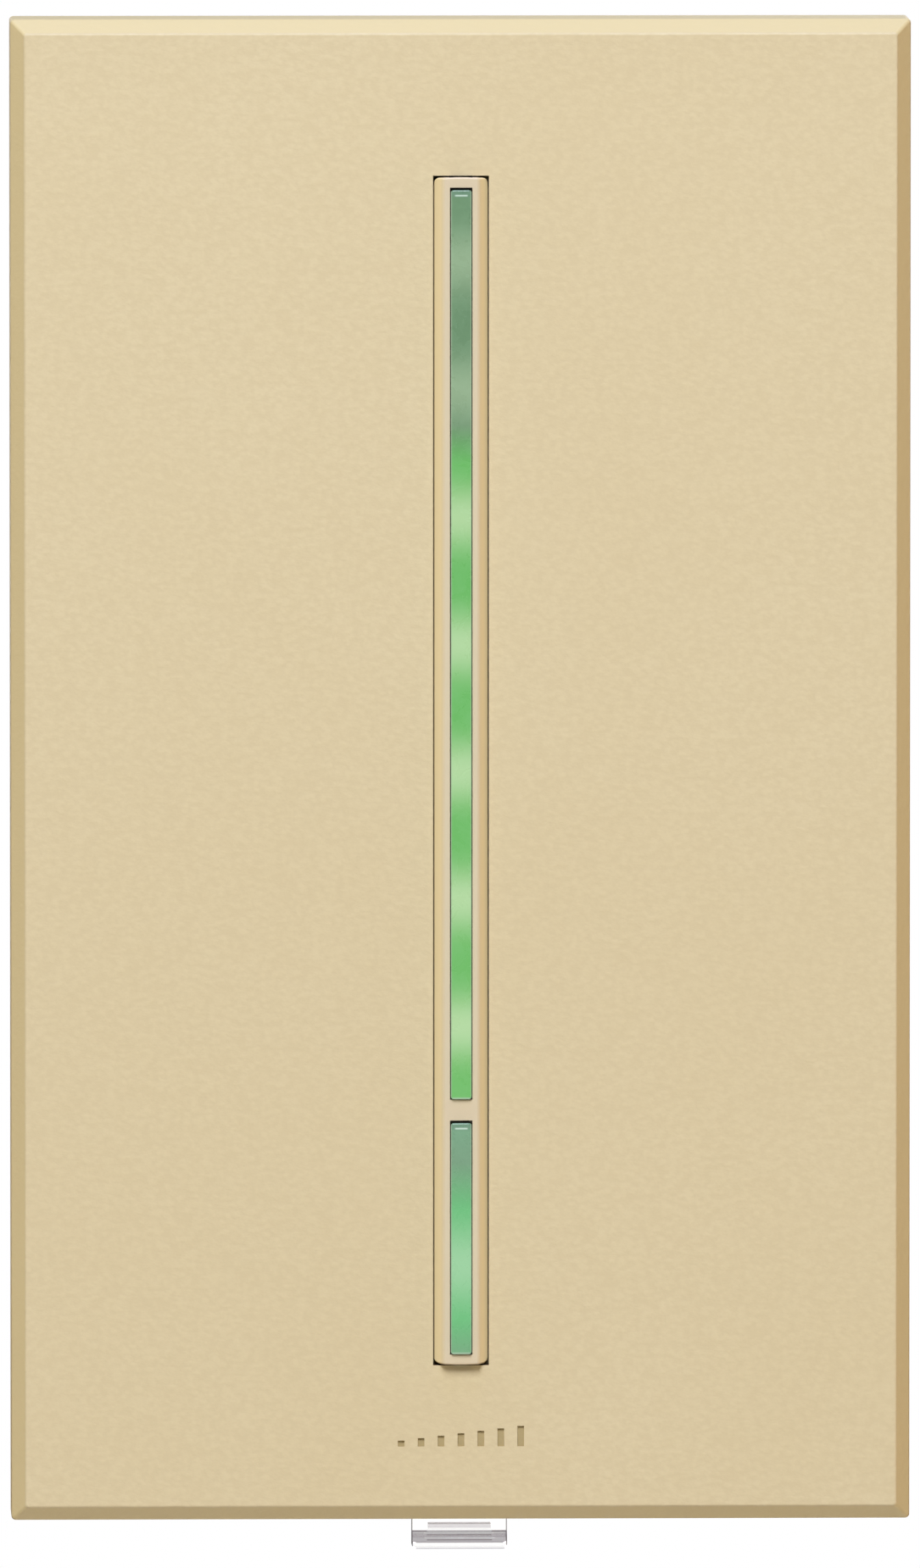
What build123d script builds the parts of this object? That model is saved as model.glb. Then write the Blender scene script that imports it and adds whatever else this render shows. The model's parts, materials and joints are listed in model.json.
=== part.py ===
from build123d import *
import os
from math import atan2, cos, degrees, radians, tan

# Touch-rail wall dimmer with a snap-on faceplate, two light bars that press in, and a
# clear pull tab that opens a service switch.
#
# X runs across the plate and Z runs up. The room is on the -Y side and the wall box on
# the +Y side. The origin lies in the wall plane, midway between the two box screws.
# A "height" is a distance in front of the wall plane: it is positive towards the room
# and negative inside the wall box. All lengths are in millimetres.

# ---------------------------------------------------------------- driving dimensions
# Faceplate
PLATE_WIDTH = 74.4
PLATE_HEIGHT = 124.4
PLATE_WALL_GAP = 0.3
FACE_WALL = 1.5
SIDE_WALL = 1.8
PLATE_CORNER = 0.35
INNER_CORNER = 0.8
BEVEL_WIDTH = 1.2
BEVEL_DEPTH = 1.4
FACE_EDGE = 0.22
POST_INSET_X = 7.2
POST_INSET_Z = 8.2
POST_RADIUS = 1.6
POST_LEAD_IN = 0.3
POST_SHOULDER_RADIUS = 2.6
FACE_RIB_WIDTH = 0.8
FACE_RIB_DEPTH = 0.9
FACE_RIB_X = (18.0, 26.0)
FACE_RIB_END_MARGIN = 14.0

# Debossed dimming-ramp mark under the rail
MARK_BARS = 7
MARK_BAR_WIDTH = 0.55
MARK_PITCH = 1.65
MARK_LOW = 0.5
MARK_HIGH = 1.7
MARK_DEPTH = 0.18
MARK_ABOVE_EDGE = 6.15

# Adapter plate
ADAPTER_CLEARANCE = 0.4
ADAPTER_THICKNESS = 1.2
ADAPTER_CORNER = 1.4
ADAPTER_RIM = 1.2
ADAPTER_RIM_CLEARANCE = 0.7
SOCKET_WALL = 1.5
SOCKET_CLEARANCE = 0.05
SOCKET_GAP = 0.1
SOCKET_HEIGHT = 2.3
ADAPTER_WINDOW_WIDTH = 13.0
ADAPTER_WINDOW_HEIGHT = 42.0
ADAPTER_WINDOW_X = 22.0

# Yoke
YOKE_INSET_X = 7.2
YOKE_INSET_Z = 8.2
YOKE_STANDOFF = 0.3
YOKE_THICKNESS = 1.2
YOKE_CORNER = 3.0
WALL_PAD = 8.0
BOX_SCREW_SPACING = 83.3

# Touch rail and its module
RAIL_END_MARGIN = 13.0
RAIL_WIDTH = 4.46
RAIL_FLAT = 2.9
RAIL_PROUD = 0.8
RAIL_SLOPE_DEPTH = 1.3
RAIL_END_ARCH = 0.1
RAIL_CORNER = 0.5
RAIL_CREST = 0.25
RAIL_END_EDGE = 0.15
RAIL_SKIN = 1.05
SLOT_CLEARANCE = 0.08
SLOT_END_CLEARANCE = 0.1
WINDOW_WIDTH = 1.86
WINDOW_END_LAND = 0.85
WINDOW_BRIDGE = 1.72
LOWER_WINDOW = 19.45
SHOULDER_THICKNESS = 0.7
SHOULDER_HALF_WIDTH = 6.0
SHOULDER_END = 3.8
SHOULDER_GAP = 0.3
SKIRT_WALL = 0.9
MODULE_CLEARANCE = 0.1
MODULE_BASE_THICKNESS = 0.8
EAR_WIDTH = 5.0

# Light bars
BAR_CLEARANCE = 0.08
BAR_TOP_GAP = 0.2
BAR_BOTTOM_GAP = 0.06
BAR_PROUD = 0.3
BAR_CORNER = 0.22
BAR_CREST = 0.12
BAR_PLAY = 0.05
BAR_TRAVEL = 0.25
FLANGE_THICKNESS = 0.85
FLANGE_OVERLAP = 0.35
FLANGE_CLEARANCE = 0.15
FLANGE_WIDTH = 2.9
BAR_POST_LENGTH = 1.2
BAR_POST_WIDTH = 2.4
BAR_POST_INSET = 0.82
LOWER_POST_OFFSET = 5.28
PAD_LENGTH = 1.6
PAD_OFFSET = 2.1

# Sensor, light mask, LEDs and board
FILM_THICKNESS = 0.15
FILM_WIDTH = 8.4
FILM_GAP = 0.05
SPACER_WINDOW_WIDTH = 3.2
MASK_THICKNESS = 0.7
MASK_WINDOW_WIDTH = 3.2
MASK_WINDOW_LENGTH = 7.6
LED_BOARD_THICKNESS = 0.8
LED_COUNT = 7
LED_END_INSET = 6.1
LOWER_LED_OFFSET = -2.25
LED_WIDTH = 0.9
LED_LENGTH = 1.6
LED_THICKNESS = 0.5
FLEX_WIDTH = 3.8
FLEX_THICKNESS = 0.12
FLEX_RUN = 1.4
FLEX_DROP = 0.6
FLEX_CONNECTOR_WIDTH = 5.2
FLEX_CONNECTOR_LENGTH = 1.5
FLEX_CONNECTOR_THICKNESS = 0.6
FLEX_SLOT_CLEARANCE = 0.05

# Header that carries the module's signals back through the yoke
HEADER_Z = 0.5
HEADER_PINS = 4
HEADER_PITCH = 2.0
HEADER_PIN = 0.5
HEADER_WIDTH = 8.4
HEADER_LENGTH = 2.2
HEADER_THICKNESS = 1.0
HEADER_PIN_END = -6.0
HEADER_CLEARANCE = 0.8
SOCKET_WIDTH = 9.2
SOCKET_LENGTH = 3.2
SOCKET_FRONT = -1.4
PIN_CLEARANCE = 0.1

# Screws: head radius, head height, shank radius
BOX_SCREW = (3.45, 1.9, 1.75)
ADAPTER_SCREW = (2.7, 1.5, 1.4)
COVER_SCREW = (2.7, 1.1, 1.2)
TRIAC_SCREW = (2.7, 1.1, 1.5)
GROUND_SCREW = (2.9, 1.9, 1.6)
GROUND_SCREW_X = -14.0
GROUND_SCREW_CLEARANCE = 0.4
BOX_SCREW_END = -23.0
BOX_SCREW_NECK = 1.45
TRIAC_SCREW_TIP = 0.6
HEAD_CROWN_SHARE = 0.45
DRIVE_FLOOR_SHARE = 0.4
MODULE_SCREW_SHANK = 0.8
COVER_SCREW_END = -9.5
THREAD_CLEARANCE = 0.02
HOLE_CLEARANCE = 0.25
HEAD_CLEARANCE = 0.5
DRIVE_WIDTH = 0.7
ADAPTER_SCREW_INSET_X = 6.0
ADAPTER_SCREW_INSET_Z = 7.0
MODULE_SCREW_X = 11.0
MODULE_SCREW_Z = 38.0
MODULE_BOSS_RADIUS = 2.2
WASHER_RADIUS = 4.0
WASHER_THICKNESS = 0.25

# Back cover and what it holds
COVER_WIDTH = 43.5
COVER_HEIGHT = 68.0
COVER_DEPTH = 28.0
COVER_WALL = 1.8
COVER_CORNER = 3.0
COVER_EDGE = 1.0
COVER_BOSS_RADIUS = 2.9
COVER_BOSS_INSET = 3.12
BOARD_CLEARANCE = 0.25
BOARD_RIB = 1.4
BOARD_RIB_Z = 22.0
LABEL_WIDTH = 28.0
LABEL_HEIGHT = 44.0
LABEL_DEPTH = 0.3
POWER_BOARD_DEPTH = 7.6
POWER_BOARD_THICKNESS = 1.6

# Line and load terminals in the side walls
POCKET_LENGTH = 11.0
POCKET_HEIGHT = 9.0
POCKET_DEPTH = 3.4
POCKET_WALL = 1.2
TERMINAL_LENGTH = 8.0
TERMINAL_HEIGHT = 7.6
TERMINAL_THICKNESS = 0.8
TERMINAL_LEG_WIDTH = 3.0
TERMINAL_LEG_PROUD = 0.6
CLAMP_SIZE = 6.6
CLAMP_THICKNESS = 0.8
TERMINAL_SCREW_HEAD = 2.8
TERMINAL_SCREW_HEAD_LENGTH = 1.6
TERMINAL_SCREW_SHANK = 1.6
TERMINAL_SCREW_TAIL = 3.0

# Triac on the back of the yoke
TRIAC_HOLE_Z = 27.0
TRIAC_WIDTH = 10.2
TRIAC_TAB_ABOVE = 2.8
TRIAC_TAB_BELOW = 3.8
TRIAC_TAB_THICKNESS = 1.3
TRIAC_BODY_LENGTH = 9.0
TRIAC_BODY_THICKNESS = 4.4
TRIAC_PAD_MARGIN = 0.4
TRIAC_PAD_THICKNESS = 0.25
TRIAC_LEAD_PITCH = 2.54
TRIAC_LEAD_WIDTH = 0.8
TRIAC_LEAD_THICKNESS = 0.5
TRIAC_LEAD_HEIGHT = -2.6
TRIAC_LEAD_RUN = 3.4
LEAD_STICK_OUT = 1.0
LEAD_CLEARANCE = 0.15
NUT_ACROSS_FLATS = 5.5
NUT_THICKNESS = 2.4

# Parts on the power board
CHOKE_CENTRE = (-8.0, 19.0)
CHOKE_INNER = 3.6
CHOKE_OUTER = 8.0
CHOKE_THICKNESS = 6.0
CHOKE_LEAD_PITCH = 4.0
WIRE = 0.9
WIRE_GAP = 0.03
WINDING_ARC = 310.0
FILM_CAPACITOR = (7.0, 17.5, 13.0)
FILM_CAPACITOR_CENTRE = (9.5, 19.0)
ELECTROLYTIC_CENTRE = (-9.0, -20.0)
ELECTROLYTIC_RADIUS = 5.0
ELECTROLYTIC_LENGTH = 12.5
VARISTOR_CENTRE = (9.0, -20.0)
VARISTOR_RADIUS = 5.2
VARISTOR_THICKNESS = 4.0
VARISTOR_EDGE = 1.2
COMPONENT_LIFT = 0.4
LEAD_RADIUS = 0.35
FILM_LEAD_PITCH = 12.5
RADIAL_LEAD_PITCH = 5.0
COMPONENT_EDGE = 0.4
CAN_GROOVE = 0.4
CAN_GROOVE_OFFSET = 2.2
MICRO_CENTRE = (-12.0, -14.0)
MICRO_SIZE = 7.0
MICRO_THICKNESS = 1.1
MICRO_LEADS = 8
MICRO_LEAD_PITCH = 0.8
MICRO_LEAD_REACH = 1.0
RESISTOR = (3.2, 1.6, 0.6)
RESISTOR_CENTRE = (12.0, -14.0)
RESISTOR_PITCH = (5.0, 4.0)

# Service switch: pull tab, cam and contacts
SWITCH_TRAVEL = 4.5
TAB_WIDTH = 7.9
TAB_PROUD = 2.8
TAB_THICKNESS = 1.0
TAB_CLEARANCE = 0.1
TAB_SIDE_CLEARANCE = 0.2
TAB_CORNER = 0.35
TAB_NOTCH_HEIGHT = 3.4
GRIP_DEPTH = 0.75
GRIP_START = 1.43
GRIP_LIP = 0.5
RIDGE_WIDTH = 5.4
RIDGE_TOP_WIDTH = 5.1
RIDGE_LENGTH = 0.65
RIDGE_DEPTH = 0.3
FORK_HALF_WIDTH = 7.9
FORK_INNER = 4.6
FORK_CROSS = 4.0
FORK_HEAD_CLEARANCE = 0.5
FORK_ABOVE_STEM = 0.4
CHANNEL_CLEARANCE = 0.5
CAM_X = (3.4, 6.2)
CAM_STEM = 3.0
CAM_PEG = 0.9
CAM_REAR = -6.6
CAM_ANGLE = 20.0
CAM_WALL_CLEARANCE = 0.3
CAM_SLOT_CLEARANCE = 0.4
CAM_OVERRUN = 0.6
CAM_TO_FOLLOWER = 3.4
FOLLOWER_RADIUS = 0.6
FOLLOWER_CLEARANCE = 0.05
FOLLOWER_REACH = 5.6
ARM_PIVOT_Z = -6.0
ARM_HEIGHT = -3.4
ARM_WIDTH = 6.0
ARM_THICKNESS = 0.5
ARM_TIP = 1.6
BARREL_RADIUS = 1.3
HINGE_PIN = 0.8
HINGE_CLEARANCE = 0.05
CONTACT_WALL_DISTANCE = 5.2
RIVET_RADIUS = 1.2
RIVET_HEIGHT = 0.5
FIXED_CONTACT_WIDTH = 5.0
CONTACT_GAP = 0.02
BRACKET_WALL = 0.8
BRACKET_SIDE_CLEARANCE = 0.2
BRACKET_LENGTH = 4.6
BRACKET_EAR = 3.0

# ---------------------------------------------------------------- derived places
half_height = PLATE_HEIGHT / 2

# Heights of the stack, from the wall plane to the room
yoke_rear = YOKE_STANDOFF
yoke_front = yoke_rear + YOKE_THICKNESS
adapter_front = yoke_front + ADAPTER_THICKNESS
base_front = adapter_front + MODULE_BASE_THICKNESS
board_front = base_front + LED_BOARD_THICKNESS
mask_front = board_front + MASK_THICKNESS
film_front = mask_front + 3 * FILM_THICKNESS
shoulder_rear = film_front + FILM_GAP
shoulder_front = shoulder_rear + SHOULDER_THICKNESS
face_rear = shoulder_front + SHOULDER_GAP
face_front = face_rear + FACE_WALL
rail_front = face_front + RAIL_PROUD
skin_rear = rail_front - RAIL_SKIN
flange_front = skin_rear - BAR_PLAY
flange_rear = flange_front - FLANGE_THICKNESS
bar_front = rail_front + BAR_PROUD
post_rear = film_front + BAR_TRAVEL + BAR_PLAY
tab_rear = yoke_front + TAB_CLEARANCE
tab_front = tab_rear + TAB_THICKNESS
cover_floor = -COVER_DEPTH + COVER_WALL
power_front = -POWER_BOARD_DEPTH
power_rear = power_front - POWER_BOARD_THICKNESS
component_front = power_rear - COMPONENT_LIFT

# Plate, adapter and yoke outlines
inner_width = PLATE_WIDTH - 2 * SIDE_WALL
inner_height = PLATE_HEIGHT - 2 * SIDE_WALL
adapter_width = inner_width - 2 * ADAPTER_CLEARANCE
adapter_height = inner_height - 2 * ADAPTER_CLEARANCE
adapter_rim_front = face_rear - ADAPTER_RIM_CLEARANCE
yoke_width = PLATE_WIDTH - 2 * YOKE_INSET_X
yoke_height = PLATE_HEIGHT - 2 * YOKE_INSET_Z
post_spacing = (PLATE_WIDTH - 2 * POST_INSET_X, PLATE_HEIGHT - 2 * POST_INSET_Z)
post_tip = yoke_front + HEAD_CLEARANCE
socket_front = adapter_front + SOCKET_HEIGHT
adapter_screw_spacing = (
    yoke_width - 2 * ADAPTER_SCREW_INSET_X,
    yoke_height - 2 * ADAPTER_SCREW_INSET_Z,
)
box_screw_z = BOX_SCREW_SPACING / 2

# Rail, windows and bars along Z
rail_length = PLATE_HEIGHT - 2 * RAIL_END_MARGIN
rail_end = rail_length / 2
slot_width = RAIL_WIDTH + 2 * SLOT_CLEARANCE
slot_length = rail_length + 2 * SLOT_END_CLEARANCE
upper_window = (
    -rail_end + WINDOW_END_LAND + LOWER_WINDOW + WINDOW_BRIDGE,
    rail_end - WINDOW_END_LAND,
)
lower_window = (-rail_end + WINDOW_END_LAND, -rail_end + WINDOW_END_LAND + LOWER_WINDOW)
bar_width = WINDOW_WIDTH - 2 * BAR_CLEARANCE
led_pitch = (upper_window[1] - upper_window[0] - 2 * LED_END_INSET) / (LED_COUNT - 1)
upper_led_places = [upper_window[0] + LED_END_INSET + i * led_pitch for i in range(LED_COUNT)]
lower_led_place = sum(lower_window) / 2 + LOWER_LED_OFFSET
upper_post_places = [
    upper_window[0] + BAR_POST_INSET,
    *[z + led_pitch / 2 for z in upper_led_places[:-1]],
    upper_window[1] - BAR_POST_INSET,
]
lower_post_places = [lower_led_place - LOWER_POST_OFFSET, lower_led_place + LOWER_POST_OFFSET]
upper_pad_places = [z - PAD_OFFSET for z in upper_post_places[1::2]]
lower_pad_places = [lower_post_places[0] + PAD_OFFSET, lower_post_places[1] + PAD_OFFSET]
cavity_width = FLANGE_WIDTH + 2 * FLANGE_CLEARANCE
shoulder_end = rail_end + SHOULDER_END
skirt_inner_end = shoulder_end - SKIRT_WALL
skirt_inner_half = SHOULDER_HALF_WIDTH - SKIRT_WALL
module_half = skirt_inner_half - MODULE_CLEARANCE
module_end = skirt_inner_end - MODULE_CLEARANCE
module_screw_head = MODULE_SCREW_SHANK + SHOULDER_THICKNESS
flex_z = -rail_end - FLEX_RUN

# Back cover, board and terminals
boss_spacing = (COVER_WIDTH - 2 * COVER_BOSS_INSET, COVER_HEIGHT - 2 * COVER_BOSS_INSET)
cover_inner_x = COVER_WIDTH / 2 - COVER_WALL
cover_inner_z = COVER_HEIGHT / 2 - COVER_WALL
pocket_floor_x = COVER_WIDTH / 2 - POCKET_DEPTH
pocket_front = power_rear - POCKET_WALL
pocket_centre = pocket_front - POCKET_HEIGHT / 2
clamp_rear_x = pocket_floor_x
clamp_front_x = clamp_rear_x + CLAMP_THICKNESS

# Service switch
fork_window_top = -box_screw_z + BOX_SCREW[0] + SWITCH_TRAVEL + FORK_HEAD_CLEARANCE
fork_window_bottom = -box_screw_z - BOX_SCREW[0] - FORK_HEAD_CLEARANCE
fork_bottom = fork_window_bottom - FORK_CROSS
cam_stem_bottom = -cover_inner_z + CAM_WALL_CLEARANCE + SWITCH_TRAVEL
cam_stem_top = cam_stem_bottom + CAM_STEM
fork_top = cam_stem_top + FORK_ABOVE_STEM
channel_top = fork_top + TAB_SIDE_CLEARANCE
channel_bottom = fork_bottom - SWITCH_TRAVEL - CHANNEL_CLEARANCE
channel_half = FORK_HALF_WIDTH + CHANNEL_CLEARANCE
tab_end = -half_height - TAB_PROUD
follower_z = cam_stem_top + CAM_TO_FOLLOWER
cam_slope = tan(radians(CAM_ANGLE))
cam_at_follower = ARM_HEIGHT - (FOLLOWER_RADIUS + FOLLOWER_CLEARANCE) / cos(radians(CAM_ANGLE))
cam_end = follower_z + SWITCH_TRAVEL + CAM_OVERRUN
contact_z = -cover_inner_z + CONTACT_WALL_DISTANCE
arm_rear = ARM_HEIGHT - ARM_THICKNESS / 2
fixed_contact_front = arm_rear - RIVET_HEIGHT - CONTACT_GAP
bracket_ear_x = ARM_WIDTH / 2 + BRACKET_SIDE_CLEARANCE + BRACKET_WALL / 2

# Holes that several plates share, as (x, z)
cam_slot_x = (CAM_X[0] - CAM_SLOT_CLEARANCE, CAM_X[1] + CAM_SLOT_CLEARANCE)
cam_slot_z = (
    cam_stem_bottom - SWITCH_TRAVEL - CAM_WALL_CLEARANCE,
    cam_stem_top + CAM_WALL_CLEARANCE,
)
header_window = (HEADER_WIDTH + 2 * HEADER_CLEARANCE, HEADER_LENGTH + 2 * HEADER_CLEARANCE)
ground_screw_place = (
    GROUND_SCREW_X,
    -COVER_HEIGHT / 2 - GROUND_SCREW[0] - GROUND_SCREW_CLEARANCE,
)
triac_screw_place = (0.0, TRIAC_HOLE_Z)
box_screw_places = [(0.0, -box_screw_z), (0.0, box_screw_z)]

os.makedirs("parts", exist_ok=True)


# ---------------------------------------------------------------- helpers
def at_height(height):
    """Return the plane parallel to the wall at this height, with x across and y up."""
    return Plane.XZ.offset(height)


def grid_places(spacing):
    """Return the four corners of a rectangle of holes, as (x, z)."""
    return [(sx * spacing[0] / 2, sz * spacing[1] / 2) for sx in (-1, 1) for sz in (-1, 1)]


def span(low_x, high_x, low_z, high_z, mode=Mode.ADD):
    """Draw a rectangle by its edges in the sketch at hand."""
    with Locations(((low_x + high_x) / 2, (low_z + high_z) / 2)):
        Rectangle(high_x - low_x, high_z - low_z, mode=mode)


def pan_screws(places, seat, screw, tip, neck=None):
    """Return pan-head screws on a seat, with a cross recess and shanks back to the tip.

    A neck is the smaller radius that a shank is turned down to in front of the wall plane.
    """
    head_radius, head_height, shank_radius = screw
    with BuildPart() as screws:
        with BuildSketch(at_height(seat)):
            with Locations(*places):
                Circle(head_radius)
        extrude(amount=head_height)
        crowns = screws.edges().filter_by(GeomType.CIRCLE).group_by(Axis.Y)[0]
        fillet(crowns, head_height * HEAD_CROWN_SHARE)
        with BuildSketch(at_height(tip)):
            with Locations(*places):
                Circle(shank_radius)
        extrude(amount=seat - tip)
        if neck:
            with BuildSketch(at_height(0)):
                with Locations(*places):
                    Circle(head_radius)
                    Circle(neck, mode=Mode.SUBTRACT)
            extrude(amount=seat, mode=Mode.SUBTRACT)
        with BuildSketch(at_height(seat + head_height * DRIVE_FLOOR_SHARE)):
            with Locations(*places):
                Rectangle(head_radius, DRIVE_WIDTH)
                Rectangle(DRIVE_WIDTH, head_radius)
        extrude(amount=head_height, mode=Mode.SUBTRACT)
    return screws


def light_bar(window, post_places):
    """Return one light bar: crown in its window, flange behind the skin, posts on the sensor."""
    bottom = window[0] + BAR_BOTTOM_GAP
    top = window[1] - BAR_TOP_GAP
    with BuildPart() as bar:
        with BuildSketch(at_height(flange_front)):
            with Locations((0, (bottom + top) / 2)):
                RectangleRounded(bar_width, top - bottom, BAR_CORNER)
        extrude(amount=bar_front - flange_front)
        fillet(bar.faces().sort_by(Axis.Y)[0].edges(), BAR_CREST)
        with BuildSketch(at_height(flange_rear)):
            low = window[0] - FLANGE_OVERLAP
            high = window[1] + FLANGE_OVERLAP
            span(-FLANGE_WIDTH / 2, FLANGE_WIDTH / 2, low, high)
        extrude(amount=FLANGE_THICKNESS)
        with BuildSketch(at_height(post_rear)):
            for place in post_places:
                with Locations((0, place)):
                    Rectangle(BAR_POST_WIDTH, BAR_POST_LENGTH)
        extrude(amount=flange_rear - post_rear)
    return bar


# ---------------------------------------------------------------- faceplate
with BuildPart() as faceplate:
    with BuildSketch(at_height(PLATE_WALL_GAP)):
        Rectangle(PLATE_WIDTH, PLATE_HEIGHT)
    extrude(amount=face_front - BEVEL_DEPTH - PLATE_WALL_GAP)
    with BuildSketch(at_height(face_front - BEVEL_DEPTH)):
        Rectangle(PLATE_WIDTH, PLATE_HEIGHT)
    extrude(amount=BEVEL_DEPTH, taper=degrees(atan2(BEVEL_WIDTH, BEVEL_DEPTH)))
    # the corners and the edge between side wall and bevel are rounded in one pass
    corners = faceplate.edges().filter_by(lambda e: abs(e.tangent_at(0.5).Y) > 0.3)
    bevel_foot = BEVEL_DEPTH - face_front
    rim = faceplate.edges().filter_by_position(Axis.Y, bevel_foot, bevel_foot)
    fillet(corners + rim, PLATE_CORNER)
    fillet(faceplate.faces().sort_by(Axis.Y)[0].edges(), FACE_EDGE)
    # the hollow behind the face
    with BuildSketch(at_height(PLATE_WALL_GAP)):
        RectangleRounded(inner_width, inner_height, INNER_CORNER)
    extrude(amount=face_rear - PLATE_WALL_GAP, mode=Mode.SUBTRACT)
    # friction posts with a shoulder at the root
    with BuildSketch(at_height(post_tip)):
        with Locations(*grid_places(post_spacing)):
            Circle(POST_RADIUS)
    extrude(amount=face_rear - post_tip)
    tips = faceplate.edges().filter_by(GeomType.CIRCLE).filter_by_position(
        Axis.Y, -post_tip - 0.01, -post_tip + 0.01
    )
    chamfer(tips, POST_LEAD_IN)
    with BuildSketch(at_height(socket_front + SOCKET_GAP)):
        with Locations(*grid_places(post_spacing)):
            Circle(POST_SHOULDER_RADIUS)
    extrude(amount=face_rear - socket_front - SOCKET_GAP)
    # stiffening ribs beside the rail
    with BuildSketch(at_height(face_rear - FACE_RIB_DEPTH)):
        for x in FACE_RIB_X:
            with Locations((-x, 0), (x, 0)):
                Rectangle(FACE_RIB_WIDTH, PLATE_HEIGHT - 2 * FACE_RIB_END_MARGIN)
    extrude(amount=FACE_RIB_DEPTH)
    # slot for the rail
    with BuildSketch(at_height(face_rear)):
        Rectangle(slot_width, slot_length)
    extrude(amount=FACE_WALL, mode=Mode.SUBTRACT)
    # notch in the lower rim for the pull tab
    with BuildSketch(at_height(PLATE_WALL_GAP)):
        with Locations((0, -half_height + SIDE_WALL / 2)):
            Rectangle(TAB_WIDTH + 2 * TAB_SIDE_CLEARANCE, SIDE_WALL)
    extrude(amount=TAB_NOTCH_HEIGHT - PLATE_WALL_GAP, mode=Mode.SUBTRACT)
    # dimming ramp: bars of rising height on one base line
    with BuildSketch(at_height(face_front - MARK_DEPTH)):
        for i in range(MARK_BARS):
            bar_height = MARK_LOW + (MARK_HIGH - MARK_LOW) * i / (MARK_BARS - 1)
            bar_x = (i - (MARK_BARS - 1) / 2) * MARK_PITCH
            with Locations((bar_x, -half_height + MARK_ABOVE_EDGE + bar_height / 2)):
                Rectangle(MARK_BAR_WIDTH, bar_height)
    extrude(amount=MARK_DEPTH, mode=Mode.SUBTRACT)
faceplate.part.label = "faceplate"
export_step(faceplate.part, "parts/faceplate.step")


# ---------------------------------------------------------------- adapter plate
ear_places = [(sx * MODULE_SCREW_X, sz * MODULE_SCREW_Z) for sx in (-1, 1) for sz in (-1, 1)]

with BuildPart() as adapter_plate:
    with BuildSketch(at_height(yoke_front)):
        RectangleRounded(adapter_width, adapter_height, ADAPTER_CORNER)
    extrude(amount=ADAPTER_THICKNESS)
    with BuildSketch(at_height(adapter_front)):
        RectangleRounded(adapter_width, adapter_height, ADAPTER_CORNER)
        Rectangle(
            adapter_width - 2 * ADAPTER_RIM,
            adapter_height - 2 * ADAPTER_RIM,
            mode=Mode.SUBTRACT,
        )
    extrude(amount=adapter_rim_front - adapter_front)
    with BuildSketch(at_height(adapter_front)):
        with Locations(*grid_places(post_spacing)):
            Circle(POST_RADIUS + SOCKET_CLEARANCE + SOCKET_WALL)
    extrude(amount=socket_front - adapter_front)
    with BuildSketch(at_height(adapter_front)):
        with Locations(*ear_places):
            Circle(MODULE_BOSS_RADIUS)
    extrude(amount=shoulder_rear - adapter_front)
    # holes: friction sockets, module screws, adapter screws and room for other heads
    with BuildSketch(at_height(yoke_front)):
        with Locations(*grid_places(post_spacing)):
            Circle(POST_RADIUS + SOCKET_CLEARANCE)
        with Locations(*ear_places):
            Circle(MODULE_SCREW_SHANK + THREAD_CLEARANCE)
        with Locations(*grid_places(adapter_screw_spacing)):
            Circle(ADAPTER_SCREW[2] + HOLE_CLEARANCE)
        with Locations(*grid_places(boss_spacing)):
            Circle(COVER_SCREW[0] + HEAD_CLEARANCE)
        with Locations(triac_screw_place):
            Circle(TRIAC_SCREW[0] + HEAD_CLEARANCE)
        with Locations((0, box_screw_z)):
            Circle(BOX_SCREW[0] + HEAD_CLEARANCE)
        with Locations((0, HEADER_Z)):
            Rectangle(*header_window)
        with Locations((-ADAPTER_WINDOW_X, 0), (ADAPTER_WINDOW_X, 0)):
            RectangleRounded(ADAPTER_WINDOW_WIDTH, ADAPTER_WINDOW_HEIGHT, INNER_CORNER)
        # channel that the pull tab slides in
        span(-channel_half, channel_half, channel_bottom, channel_top)
        tab_half = TAB_WIDTH / 2 + TAB_SIDE_CLEARANCE
        span(-tab_half, tab_half, -adapter_height / 2, channel_bottom)
    extrude(amount=adapter_rim_front - yoke_front, mode=Mode.SUBTRACT)
adapter_plate.part.label = "adapter_plate"
export_step(adapter_plate.part, "parts/adapter_plate.step")


# ---------------------------------------------------------------- yoke and its screws
with BuildPart() as yoke:
    with BuildSketch(at_height(yoke_rear)):
        RectangleRounded(yoke_width, yoke_height, YOKE_CORNER)
    extrude(amount=YOKE_THICKNESS)
    with BuildSketch(at_height(0)):
        with Locations(*grid_places((yoke_width - WALL_PAD, yoke_height - WALL_PAD))):
            RectangleRounded(WALL_PAD, WALL_PAD, YOKE_CORNER)
    extrude(amount=YOKE_STANDOFF)
    with BuildSketch(at_height(yoke_rear)):
        with Locations(*box_screw_places):
            Circle(BOX_SCREW[2] + HOLE_CLEARANCE)
        with Locations(*grid_places(adapter_screw_spacing)):
            Circle(ADAPTER_SCREW[2] + THREAD_CLEARANCE)
        with Locations(*grid_places(boss_spacing)):
            Circle(COVER_SCREW[2] + HOLE_CLEARANCE)
        with Locations(triac_screw_place):
            Circle(TRIAC_SCREW[2] + HOLE_CLEARANCE)
        with Locations(ground_screw_place):
            Circle(GROUND_SCREW[2] + THREAD_CLEARANCE)
        with Locations((0, HEADER_Z)):
            Rectangle(*header_window)
        span(*cam_slot_x, *cam_slot_z)
    extrude(amount=YOKE_THICKNESS, mode=Mode.SUBTRACT)
yoke.part.label = "yoke"
export_step(yoke.part, "parts/yoke.step")

mounting_screws = pan_screws(
    box_screw_places, yoke_front, BOX_SCREW, BOX_SCREW_END, neck=BOX_SCREW_NECK
)
mounting_screws.part.label = "mounting_screws"
export_step(mounting_screws.part, "parts/mounting_screws.step")

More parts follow.
